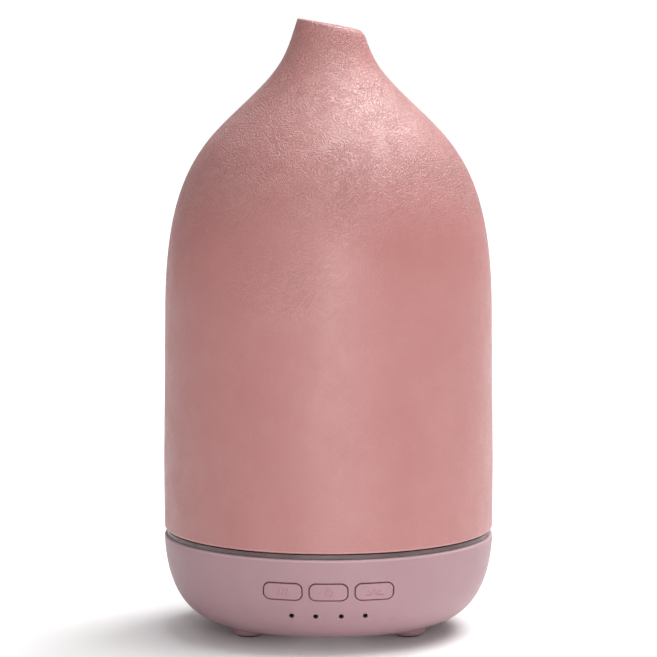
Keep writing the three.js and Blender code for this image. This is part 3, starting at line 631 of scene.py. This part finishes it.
SLOT_OF = {row["node"]: row["material_slot"] for row in frame["record"]["subparts"]}
BODY_OF = {node: body for body, nodes in frame["record"]["behaviour"]["bodies"].items() for node in nodes}


def paint(piece, material):
    piece.data.materials.clear()
    piece.data.materials.append(material)


def stand_for(piece, node):
    """The piece takes the node's place, body, slot and finish."""
    paint(piece, FINISHES[SLOT_OF[node]])
    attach(piece, BODY_OF[node])
    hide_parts(node)
    return piece


# ---------- Ceramic cover and the ring it stands on ----------
LIP_STEPS = 6


def corner(before, here, after, reach_in, reach_out, steps=LIP_STEPS):
    """A rounded corner from a point before it to a point after it."""
    here = Vector(here)
    start = here + (Vector(before) - here).normalized() * reach_in
    end = here + (Vector(after) - here).normalized() * reach_out
    return [tuple((1 - t) ** 2 * start + 2 * t * (1 - t) * here + t * t * end)
            for t in (k / steps for k in range(steps + 1))]


def rim_height(outline, angle):
    """Height at which an outline, at this angle, meets the slanted plane of the rim."""
    slope = math.cos(angle) * math.tan(RIM_TILT) + math.sin(angle) * math.tan(RIM_LEAN)
    z = RIM_Z
    for _ in range(12):
        z = RIM_Z - radius_at(outline, z) * slope
    return z


def ceramic_cover():
    """Hollow bottle shape, open below, whose spout ends in a slanted rim."""
    outer = cover_outline()
    inner = inset(outer, CERAMIC)
    spout_low = 150.0
    spout_steps = 14
    low_outer = [p for p in outer if p[1] < spout_low]
    low_inner = [p for p in inner if p[1] < spout_low]
    foot_in = (BODY_R - CERAMIC - 0.1, SEAM_HIGH)
    foot_out = (BODY_R - 0.1, SEAM_HIGH)
    foot = corner(low_inner[0], foot_in, foot_out, 0.5, 0.5, 4)
    foot += corner(foot_in, foot_out, low_outer[0], 0.75, 0.9)

    def spout(outline, top):
        heights = [spout_low + (top - spout_low) * k / spout_steps for k in range(spout_steps)]
        return [(radius_at(outline, z), z) for z in heights]

    def meridian(angle):
        blunt = ((1 + math.cos(angle)) / 2) ** 1.5  # the low side of the rim is rounder
        reach = 0.45 + 1.75 * blunt
        high_out, high_in = rim_height(outer, angle), rim_height(inner, angle)
        lip_out = (radius_at(outer, high_out), high_out)
        lip_in = (radius_at(inner, high_in), high_in)
        up = spout(outer, high_out - reach)
        down = spout(inner, high_in - 0.4)[::-1]
        lip = corner(up[-1], lip_out, lip_in, reach, reach) + corner(lip_out, lip_in, down[0], 0.4, 0.4)
        return foot + low_outer + up + lip + down + low_inner[::-1]

    return stand_for(revolve_by("cover_glazed", meridian), "ceramic_cover")


def seat_ring():
    """L-shaped ring: the cover stands on its foot and is centred by its collar."""
    low = SEAM_LOW + 0.01  # the soft ring is pressed onto the base
    foot_high = SEAM_HIGH - GAP
    collar = RING_HIGH.x - 2.5
    inside = collar - 0.9
    outline = [(inside, low), (RING_HIGH.x, low), (RING_HIGH.x, foot_high), (collar, foot_high),
               (collar, RING_HIGH.z), (inside, RING_HIGH.z)]
    return stand_for(revolve("ring_soft", soften(outline, 0.12)), "seat_ring")


# ---------- Base shell and buttons ----------
FLANGE_R, FLANGE_LOW = 41.3, 24.6  # the tank's flange, which the shell holds
BUTTONS = {"mist_button": -1, "power_button": 0, "light_button": 1}
BUTTON_W, BUTTON_H, BUTTON_CORNER = 9.7, 4.3, 1.6
BUTTON_CUT = 0.25  # gap round a button
BUTTON_PROUD = 0.25  # how far a button stands out of the shell
FLANGE_T = 0.9
POWER_LOW, POWER_HIGH = box_mm("power_button")
BUTTON_Z = (POWER_LOW.z + POWER_HIGH.z) / 2
BUTTON_PITCH = box_mm("light_switch")[0].x + 3
LED_HOLE = 0.65  # radius of a lamp's hole
LEDS = [sum(v.x for v in box_mm(f"signal_led_{i}")) / 2 for i in (1, 2, 3, 4)]
LED_Z = sum(v.z for v in box_mm("signal_led_1")) / 2
SOCKET_LOW, SOCKET_HIGH = box_mm("dc_socket")
SOCKET_Z = (SOCKET_LOW.z + SOCKET_HIGH.z) / 2
SOCKET_NOSE_R = 4
PLUG_R, PIN_R = 3.15, 1
SOCKET_BLOCK_END, SOCKET_NOSE_START = 35.6, 35  # along Y
SCREW_BORE = 1.1
BOSS_R, BOSS_FRONT, BOSS_REAR = 2.2, -36, -30.8  # of the control board's screws, along Y
FLANGE_EXTRA = (1.5, 2.2)  # how much wider and higher a button's flange is
ICON_DEPTH = 0.14
ICON_HALF_WIDTH, ICON_SLOPE = 0.24, 0.14  # of the line that an icon is drawn with, and of its soft sides
POST_R, POST_ANGLES = 25.5, (-90, 30, 150)
FOOT_R, FOOT_ANGLES = 24.4, (-150, -30, 90)
TRANSDUCER_R, TRANSDUCER_ANGLES = 17.2, (60, 180, 300)
FAN_LOW, FAN_HIGH = box_mm("fan_frame")
FAN_Y = (FAN_LOW.y + FAN_HIGH.y) / 2
FAN_HOLE = 12.25
BOARD_LOW = box_mm("main_board")[0].z
BOTTOM_HIGH_Z = LEDGE_Z - GAP
OUTLINE = base_outline()


def wall_y(x, z, depth=0.0):
    """How far the base shell's outside, or a surface at a depth under it, is from the axis along Y."""
    return math.sqrt(max((radius_at(OUTLINE, z) - depth) ** 2 - x * x, 0))


def wall_cutter(contour, x0, z0, fillet, side, inner_y):
    """A cutter through the wall along Y whose rim flares, so that the cut edge is rounded.
    The contour gives points for an offset; side is -1 for the front wall and 1 for the rear."""
    angles = [math.radians(a) for a in (18, 36, 54, 72, 90)]
    steps = [(fillet * (1 - math.sin(a)), fillet * (1 - math.cos(a))) for a in angles]
    run_out = 0.5
    steps.insert(0, (steps[0][0] + run_out, steps[0][1] - run_out * math.tan(angles[0])))
    rings = [[(x0 + x, side * (BODY_R + 4), z0 + z) for x, z in contour(steps[0][0])]]
    for offset, depth in steps:
        rings.append([(x0 + x, side * (wall_y(x0 + x, z0 + z) - depth), z0 + z) for x, z in contour(offset)])
    rings.append([(x0 + x, side * inner_y, z0 + z) for x, z in contour(0)])
    return loft("cutter", rings)


def shell_body():
    """Bowl whose upper edge seats the tank's flange and whose ledge holds the bottom cover."""
    seat_r, seat_z = FLANGE_R + 0.4, 23.2
    groove_r, groove_z = 39.2, 21.9
    ledge_r = BOTTOM_R - 1.6
    top = [p for p in OUTLINE if p[1] < SEAM_LOW - 1.2] + [(BODY_R - 0.05, SEAM_LOW)]
    seat = [(seat_r, SEAM_LOW), (seat_r, seat_z), (groove_r, seat_z), (groove_r, groove_z), (41.1, 21.6)]
    inner = [p for p in inset(OUTLINE, PLASTIC) if 7.8 < p[1] < 21.4][::-1]
    ledge = [(35.6, 7.4), (ledge_r, 7.2), (ledge_r, LEDGE_Z), (BOTTOM_R, LEDGE_Z)]
    return revolve("shell_moulded", soften(top + seat + inner + ledge, 0.7), 256)


def base_shell():
    """The shell with its screw bosses, button windows, lamp holes and socket hole."""
    shell = shell_body()
    screws = [box_mm(f"control_screw_{i}") for i in (1, 2)]
    places = [((low.x + high.x) / 2, (low.z + high.z) / 2) for low, high in screws]
    combine(shell, [rod_y(BOSS_R, BOSS_FRONT, BOSS_REAR, x, z) for x, z in places], "UNION")

    def button_hole(offset):
        width, height = BUTTON_W + 2 * BUTTON_CUT, BUTTON_H + 2 * BUTTON_CUT
        return rounded_rectangle(width, height, BUTTON_CORNER + BUTTON_CUT, offset, 8, 10)

    cuts = [rod_y(SCREW_BORE, BOSS_FRONT + 1.2, BOSS_REAR + 0.8, x, z, 0.1) for x, z in places]
    for side in BUTTONS.values():
        cuts.append(wall_cutter(button_hole, side * BUTTON_PITCH, BUTTON_Z, 0.22, -1, 34))
    cuts += [wall_cutter(lambda offset: circle(LED_HOLE, offset, 24), x, LED_Z, 0.08, -1, 33) for x in LEDS]
    cuts.append(wall_cutter(lambda offset: circle(SOCKET_NOSE_R + 0.4, offset, 48), 0, SOCKET_Z, 0.35, 1, 34))
    combine(shell, cuts, "DIFFERENCE")
    return stand_for(crisp(shell, 35), "base_shell")


def steam_icon(x, z):
    """Distance to three wavy strokes."""
    strokes = [k * 0.95 + 0.13 * math.sin(z * 3.4) for k in (-1, 0, 1)]
    side = min(abs(x - stroke) for stroke in strokes) * 0.9
    return math.hypot(side, max(abs(z) - 0.85, 0))


def power_icon(x, z):
    """Distance to an open ring with a stroke in its gap."""
    angle = abs(math.atan2(x, z))
    ring = abs(math.hypot(x, z + 0.1) - 0.95) if angle > 0.6 else 9
    stroke = math.hypot(x, max(0.25 - z, z - 1.2, 0))
    return min(ring, stroke)


def light_icon(x, z):
    """Distance to a wide half sun: a small arch with five rays over it."""
    x, z = x / 1.45, z + 0.75
    arch_r, ray_start, ray_end = 0.45, 0.95, 1.5
    radius = math.hypot(x, z)
    if z < 0:
        to_ends = abs(abs(x) - arch_r)
        to_level_rays = max(ray_start - abs(x), abs(x) - ray_end, 0)
        return math.hypot(z, min(to_ends, to_level_rays))
    off_ray = (math.atan2(z, x) + math.pi / 8) % (math.pi / 4) - math.pi / 8
    beside, along = radius * math.sin(off_ray), radius * math.cos(off_ray)
    to_ray = math.hypot(beside, max(ray_start - along, along - ray_end, 0))
    return min(abs(radius - arch_r), to_ray)


ICONS = {"mist_button": steam_icon, "power_button": power_icon, "light_button": light_icon}


def button(node):
    """A cap that follows the wall, with a shallow icon, a flange behind the wall and a pusher."""
    x0 = BUTTONS[node] * BUTTON_PITCH
    icon = ICONS[node]
    edge, edge_steps, face_steps = 0.24, 6, 44

    def contour(offset, flange=False):
        extra_w, extra_h = FLANGE_EXTRA if flange else (0, 0)
        return rounded_rectangle(BUTTON_W + extra_w, BUTTON_H + extra_h, BUTTON_CORNER, offset, 20, 60)

    def ring(points, depth):
        return [(x0 + x, -wall_y(x0 + x, BUTTON_Z + z, depth), BUTTON_Z + z) for x, z in points]

    rings = []
    rim = contour(-edge)
    for k in range(1, face_steps + 1):
        share = k / face_steps
        row = []
        for x, z in rim:
            x, z = x * share, z * share
            ease = min(max((ICON_HALF_WIDTH - icon(x, z)) / ICON_SLOPE, 0), 1)
            depth = -BUTTON_PROUD + ICON_DEPTH * ease * ease * (3 - 2 * ease)
            row.append((x0 + x, -wall_y(x0 + x, BUTTON_Z + z, depth), BUTTON_Z + z))
        rings.append(row)
    for k in range(1, edge_steps + 1):
        a = math.pi / 2 * k / edge_steps
        rings.append(ring(contour(-edge * (1 - math.sin(a))), -BUTTON_PROUD + edge * (1 - math.cos(a))))
    behind = PLASTIC + GAP
    rings.append(ring(contour(0), behind))
    rings.append(ring(contour(0, flange=True), behind))
    rings.append(ring(contour(0, flange=True), behind + FLANGE_T))
    rings.append(ring(contour(-1.2), behind + FLANGE_T))
    cap = loft("cap", rings)
    pusher = rod_y(1.4, -wall_y(x0, BUTTON_Z, behind + 0.3), -36.1, x0, BUTTON_Z)
    combine(cap, [pusher], "UNION")
    cap.name = node.replace("button", "key_moulded")
    return stand_for(crisp(cap, 40), node)


def dc_socket():
    """Square-backed power socket with a round nose and a contact pin in its bore."""
    low, high = SOCKET_LOW, SOCKET_HIGH
    body = block("socket", low.x, high.x, low.y, SOCKET_BLOCK_END, low.z, high.z, 0.3)
    combine(body, [rod_y(SOCKET_NOSE_R, SOCKET_NOSE_START, high.y, 0, SOCKET_Z, 0.45, 64)], "UNION")
    combine(body, [rod_y(PLUG_R, low.y + 1.6, high.y + 3, 0, SOCKET_Z, 0.1, 48)], "DIFFERENCE")
    combine(body, [rod_y(PIN_R, low.y + 1, high.y - 1, 0, SOCKET_Z, 0.35, 24)], "UNION")
    body.name = "socket_moulded"
    return stand_for(crisp(body, 35), "dc_socket")


# ---------- Tank and lid ----------
TANK_R, TANK_IN = 38.6, 36.4
TANK_FLOOR, TANK_UNDER = 36, 34
BASIN_FLOOR, BASIN_R = 32.5, 16  # the dip over the mist transducer
DISC_HOLE, DISC_SEAT = 8, 31
COLLAR_R, COLLAR_IN, COLLAR_LOW = 14.6, 12.6, 25.5
POST_OUT, DISC_BOSS_R, PILOT_R = 2.8, 2, 1.6
RISER_X, RISER_WALL, RISER_HALF, RISER_TOP = (25, 33.5), 1.5, 5.2, 72


def inner_lid():
    """Bell with a mist chimney and a skirt that hangs into the tank."""
    wall = 1.4
    top, rim_low, rim_top = LID_HIGH.z, TANK_TOP + GAP, 81.8
    skirt_in, skirt_out = 34.9, 35.9
    chimney_out, chimney_in = 7.6, 6.3
    bell = bezier((34.5, rim_top), (32.5, 95), (13.5, 95.5), (9.2, 106), 28)
    outside = [(LID_HIGH.x, rim_low), (LID_HIGH.x, rim_top)] + bell
    outside += [(chimney_out + 0.1, top - 0.5), (chimney_out, top)]
    inside = [(chimney_in, top)] + inset(bell[1:], wall)[::-1]
    skirt = [(33.2, rim_low), (skirt_in, TANK_TOP - 1), (skirt_in, LID_LOW.z), (skirt_out, LID_LOW.z),
             (skirt_out, rim_low)]
    lid = revolve("lid_moulded", soften(outside + inside + skirt, 0.35, corner=math.radians(26)))
    return stand_for(crisp(lid, 50), "inner_lid")


def riser_block(low, high, grow, outer=RISER_X[1]):
    """The air riser's bore between two heights, grown on all four sides."""
    half = RISER_HALF + grow
    return block("riser", RISER_X[0] - grow, outer + grow, -half, half, low, high, 0.5)


def around(radius, angles):
    """Places on a circle about the axis, at angles in degrees."""
    return [(radius * math.cos(math.radians(a)), radius * math.sin(math.radians(a))) for a in angles]


def water_tank():
    """Bowl with a raised air riser on the right, screw posts and the collar of the mist transducer."""
    basin = [(DISC_HOLE, DISC_SEAT), (DISC_HOLE, BASIN_FLOOR), (DISC_HOLE + 1.5, BASIN_FLOOR)]
    basin.append((BASIN_R, TANK_FLOOR))
    inside = [(TANK_IN, TANK_FLOOR), (TANK_IN, TANK_TOP - 1.2), (TANK_IN + 0.5, TANK_TOP)]
    outside = [(TANK_R - 0.5, TANK_TOP), (TANK_R, TANK_TOP - 0.5), (TANK_R, SEAM_LOW), (FLANGE_R, SEAM_LOW)]
    under = [(FLANGE_R, FLANGE_LOW), (TANK_IN, FLANGE_LOW), (TANK_IN, TANK_UNDER), (BASIN_R + 1, TANK_UNDER)]
    collar = [(COLLAR_R, 32.7), (COLLAR_R, COLLAR_LOW), (COLLAR_IN, COLLAR_LOW), (COLLAR_IN, DISC_SEAT)]
    bowl = revolve("tank_moulded", soften(basin + inside + outside + under + collar, 0.7))
    posts = [rod(POST_OUT, 7.6, TANK_UNDER + 1, x, y) for x, y in around(POST_R, POST_ANGLES)]
    bosses = [rod(DISC_BOSS_R, COLLAR_LOW, 34.5, x, y) for x, y in around(TRANSDUCER_R, TRANSDUCER_ANGLES)]
    walls = [riser_block(22.3, 35, RISER_WALL), riser_block(34.5, RISER_TOP, RISER_WALL, outer=35.5)]
    combine(bowl, posts + bosses + walls, "UNION")
    low, high = FILL_Z - 0.2, FILL_Z + 0.2
    line_in, line_out = TANK_IN - 0.25, TANK_IN + 0.2
    fill_line = revolve("line", [(line_in, low), (line_out, low), (line_out, high), (line_in, high)])
    pilots = [rod(PILOT_R, 6, 20, x, y) for x, y in around(POST_R, POST_ANGLES)]
    pilots += [rod(SCREW_BORE, 25, 32, x, y, 0.1) for x, y in around(TRANSDUCER_R, TRANSDUCER_ANGLES)]
    combine(bowl, [fill_line], "UNION")
    combine(bowl, pilots + [riser_block(20, RISER_TOP + 2, 0)], "DIFFERENCE")
    return stand_for(crisp(bowl, 40), "water_tank")


# ---------- Bottom cover, feet and screws ----------
SCREW_HEAD, SCREW_HEAD_R, SCREW_R, SCREW_LENGTH = 1.4, 2.5, 1.25, 11
SCREW_PITCH = 0.9
SLOT_CUT_TOP = 7.6
VENT_RINGS = ((3.2, 5.2, 3), (6.9, 8.9, 4), (10.6, 12.6, 6))  # inner and outer radius, number of slots
VENT_BRIDGE = 1.1  # material left between two slots
BOARD_POST_X, BOARD_POST_Y = 20, -12
FOOT_OUT, FOOT_LOW = 4.7, 0.5  # radius and underside of a foot's boss
PAD_HOLE_R = 3.6
SCREW_WELL_R, SCREW_SHANK_HOLE = 2.9, 1.6
CRADLE_FRONT, CRADLE_REAR, CRADLE_HALF, CRADLE_SIDE = 27.6, 29, 4.8, 6.3  # holds the power socket
CRADLE_FLOOR, CRADLE_TOP = 8.7, 12.5


def slot_cutter(r0, r1, start, end):
    """A curved slot with round ends and a softened lower rim, about the fan's axis."""
    half = (r1 - r0) / 2
    middle = (r0 + r1) / 2
    cap_angle = half / middle
    first, last = start + cap_angle, end - cap_angle

    def at(radius, angle):
        return Vector((radius * math.cos(angle), FAN_Y + radius * math.sin(angle)))

    def cap(angle, side, width):
        """Points round a slot's end, from its outer side to its inner side."""
        turns = [angle + side * math.pi * k / 8 for k in range(1, 8)]
        return [at(middle, angle) + width * Vector((math.cos(t), math.sin(t))) for t in turns]

    def contour(offset):
        width = half + offset
        angles = [first + (last - first) * k / 16 for k in range(17)]
        outer = [at(middle + width, a) for a in angles]
        inner = [at(middle - width, a) for a in reversed(angles)]
        return outer + cap(last, 1, width) + inner + cap(first, -1, width)[::-1]

    flare = ((0.5, -0.3), (0.3, 0), (0.1, 0.15), (0, 0.35), (0, SLOT_CUT_TOP - BOTTOM_Z))
    rings = [[(p.x, p.y, BOTTOM_Z + rise) for p in contour(offset)] for offset, rise in flare]
    return loft("slot", rings)


def bottom_cover():
    """Disc with foot bosses, screw wells and posts, a cradle for the power socket and the fan's vents."""
    top = BOTTOM_HIGH_Z
    edge = BOTTOM_R - 0.4
    disc = revolve("cover_plate", soften([(0, BOTTOM_Z), (edge, BOTTOM_Z), (edge, top), (0, top)], 0.35,
                                         closed=False))
    joined = []
    for x, y in around(FOOT_R, FOOT_ANGLES):
        profile = [(0, FOOT_LOW), (FOOT_OUT - 0.7, FOOT_LOW), (FOOT_OUT - 0.1, FOOT_LOW + 0.6)]
        profile += [(FOOT_OUT, FOOT_LOW + 1.3), (FOOT_OUT, FOOT_LOW + 4), (0, FOOT_LOW + 4)]
        boss = soften(profile, 0.4, closed=False)
        joined.append(move_to(revolve("boss", boss, 48), x, y))
    joined += [rod(4, 5, 7.3, x, y) for x, y in around(POST_R, POST_ANGLES)]
    joined += [rod(2.6, 5, BOARD_LOW - GAP, side * BOARD_POST_X, BOARD_POST_Y) for side in (-1, 1)]
    walls = [(-CRADLE_HALF, CRADLE_HALF, CRADLE_FLOOR)]
    walls += [(-CRADLE_SIDE, -CRADLE_HALF, CRADLE_TOP), (CRADLE_HALF, CRADLE_SIDE, CRADLE_TOP)]
    for x0, x1, high in walls:
        joined.append(block("cradle", x0 - 0.05, x1 + 0.05, CRADLE_FRONT, CRADLE_REAR, 5, high, 0.2))
    combine(disc, joined, "UNION")
    cuts = [rod(PAD_HOLE_R, -1, FOOT_LOW + 1, x, y, 0.1, 48) for x, y in around(FOOT_R, FOOT_ANGLES)]
    for x, y in around(POST_R, POST_ANGLES):
        cuts.append(rod(SCREW_WELL_R, 2, 5.4, x, y, 0.1, 40))
        cuts.append(rod(SCREW_SHANK_HOLE, 3, 8, x, y, 0.1))
    cuts += [rod(SCREW_BORE, 6, 12, side * BOARD_POST_X, BOARD_POST_Y, 0.1) for side in (-1, 1)]
    cuts += [rod(SCREW_BORE, 3.9, 8, side * FAN_HOLE, FAN_Y + side * FAN_HOLE, 0.1) for side in (-1, 1)]
    for r0, r1, count in VENT_RINGS:
        for i in range(count):
            under_foot = r0 > 10 and i == 1
            if not under_foot:
                bridge = VENT_BRIDGE / r0
                step = 2 * math.pi / count
                cuts.append(slot_cutter(r0, r1, i * step + bridge / 2, (i + 1) * step - bridge / 2))
    combine(disc, cuts, "DIFFERENCE")
    disc.name = "bottom_moulded"
    return stand_for(crisp(disc, 35), "bottom_cover")


def foot_pad(node):
    low, high = box_mm(node)
    x, y = (low.x + high.x) / 2, (low.y + high.y) / 2
    r = (high.x - low.x) / 2
    outline = [(0, 0.12), (r - 1.3, 0.12), (r - 1.0, 0), (r - 0.3, 0), (r, 0.3), (r, high.z), (0, high.z)]
    pad = revolve("pad", soften(outline, 0.25, closed=False), 64)
    pad.name = node + "_soft"
    return stand_for(crisp(move_to(pad, x, y), 50), node)


def screw(node):
    """A pan-head screw with a cross recess, head down."""
    head, head_r, shank_r, length = SCREW_HEAD, SCREW_HEAD_R, SCREW_R, SCREW_LENGTH
    crown = [(0, 0), (head_r * 0.55, 0.06), (head_r * 0.88, 0.28 * head), (head_r, 0.62 * head)]
    crown.append((head_r, head))
    shank = [(shank_r, head)]
    for k in range(int(length / SCREW_PITCH)):
        crest, root = head + SCREW_PITCH * (k + 0.35), head + SCREW_PITCH * (k + 0.62)
        shank += [(shank_r, crest), (shank_r * 0.78, root)]
    shank += [(shank_r * 0.8, head + length - 0.6), (0, head + length)]
    body = revolve("screw", soften(crown + shank, 0.12, closed=False), 40)
    arms = [block("arm", -head_r * 0.6, head_r * 0.6, -0.28, 0.28, -0.5, head * 0.62, 0.08) for _ in range(2)]
    arms[1].data.transform(Matrix.Rotation(math.pi / 2, 4, "Z"))
    combine(body, arms, "DIFFERENCE")
    low, high = box_mm(node)
    move_to(body, (low.x + high.x) / 2, (low.y + high.y) / 2, low.z)
    body.name = node + "_threaded"
    return stand_for(crisp(body, 30), node)


# ---------- Build ----------
ceramic_cover()
seat_ring()
base_shell()
for node in BUTTONS:
    button(node)
dc_socket()
inner_lid()
water_tank()
bottom_cover()
for place in ("front_left", "front_right", "rear"):
    foot_pad(f"foot_pad_{place}")
for i in (1, 2, 3):
    screw(f"housing_screw_{i}")

for node, piece in frame["nodes"].items():
    if node in SLOT_OF:
        paint(piece, FINISHES[SLOT_OF[node]])
paint(frame["nodes"]["transducer_disc"], PIEZO)


# ---------- Floor, light and camera ----------
def floor():
    """A wide pale floor that glows in front of the object and behind it, as a lit backdrop does."""
    half = 40.0
    mesh = bpy.data.meshes.new("floor")
    corners = [(-half, -half, 0), (half, -half, 0), (half, half, 0), (-half, half, 0)]
    mesh.from_pydata(corners, [], [(0, 1, 2, 3)])
    sheet = bpy.data.objects.new("floor", mesh)
    SCENE.collection.objects.link(sheet)
    m = Recipe("floor_paper", Specular_IOR_Level=0.1)
    m.shader.inputs["Emission Color"].default_value = (1, 1, 1, 1)
    distance = m.node("ShaderNodeVectorMath", {0: m.place}, "Value", operation="LENGTH")
    aside = m.maths("ABSOLUTE", m.node("ShaderNodeSeparateXYZ", {"Vector": m.place}, "X"))
    sideways = m.maths("DIVIDE", aside, distance)
    outward = m.remap(distance, 0.25, 1.5, 0.10, 0.66)
    glow = m.maths("MULTIPLY", outward, m.remap(sideways, 0.25, 0.8, 1.0, 0.3))
    m.feed(m.shader.inputs["Emission Strength"], glow)
    m.colour(m.blend(m.noise(60, detail=2), linear("f4f4f4"), linear("f7f7f7")))
    m.bump(m.noise(0.8), 0.005)
    m.rough(m.remap(m.noise(30), 0.3, 0.7, 0.9, 0.95))
    paint(sheet, m.material)


def aim(thing, target):
    direction = Vector(target) - thing.location
    thing.rotation_euler = direction.to_track_quat("-Z", "Y").to_euler()


def softbox(name, place, target, width, height, power):
    """A rectangular lamp, in metres and watts, that the camera doesn't see."""
    lamp = bpy.data.lights.new(name, "AREA")
    lamp.shape = "RECTANGLE"
    lamp.size, lamp.size_y = width, height
    lamp.energy = power
    thing = bpy.data.objects.new(name, lamp)
    SCENE.collection.objects.link(thing)
    thing.location = place
    thing.visible_camera = False
    aim(thing, target)


def sky():
    """White light, dimmer from both sides and brighter at the horizon."""
    world = bpy.data.worlds.new("studio")
    SCENE.world = world
    world.use_nodes = True
    tree = world.node_tree
    place = tree.nodes.new("ShaderNodeTexCoord")
    split = tree.nodes.new("ShaderNodeSeparateXYZ")
    tree.links.new(place.outputs["Generated"], split.inputs["Vector"])

    def falling(axis, near, far, at_near, at_far):
        """A value that changes with how far a direction leans along an axis."""
        lean = tree.nodes.new("ShaderNodeMath")
        lean.operation = "ABSOLUTE"
        scale = tree.nodes.new("ShaderNodeMapRange")
        for socket, value in zip(("From Min", "From Max", "To Min", "To Max"), (near, far, at_near, at_far)):
            scale.inputs[socket].default_value = value
        tree.links.new(split.outputs[axis], lean.inputs[0])
        tree.links.new(lean.outputs["Value"], scale.inputs["Value"])
        return scale.outputs["Result"]

    strength = tree.nodes.new("ShaderNodeMath")
    strength.operation = "MULTIPLY"
    tree.links.new(falling("X", 0.1, 0.7, SKY_MIDDLE, SKY_SIDES), strength.inputs[0])
    tree.links.new(falling("Z", 0.03, 0.15, 1 / SKY_MIDDLE, 1.0), strength.inputs[1])
    tree.links.new(strength.outputs["Value"], tree.nodes["Background"].inputs["Strength"])
    tree.nodes["Background"].inputs["Color"].default_value = (1, 1, 1, 1)


SKY_MIDDLE, SKY_SIDES = 0.78, 0.04  # strength in front of and behind the object, and beside it
LENS, SENSOR = 192.4, 36  # in millimetres
CAMERA_PLACE, CAMERA_TARGET = (0, -0.930, 0.1886), (0, 0, 0.0806)
MIDDLE = (0, 0, 0.085)
floor()
sky()
softbox("key", (0.26, 0.04, 0.88), (0, 0, 0.13), 0.75, 0.75, 8.2)
softbox("shoulder_glow", (0.48, 0.55, 0.95), (0, 0, 0.14), 0.5, 0.5, 6.4)
softbox("front_fill", (0.14, -1.30, 0.28), MIDDLE, 0.5, 0.6, 4.3)

camera_data = bpy.data.cameras.new("camera")
camera_data.lens = LENS
camera_data.sensor_width = SENSOR
camera = bpy.data.objects.new("camera", camera_data)
SCENE.collection.objects.link(camera)
camera.location = CAMERA_PLACE
aim(camera, CAMERA_TARGET)
SCENE.camera = camera
SCENE.view_settings.view_transform = "Standard"

bpy.context.view_layer.update()
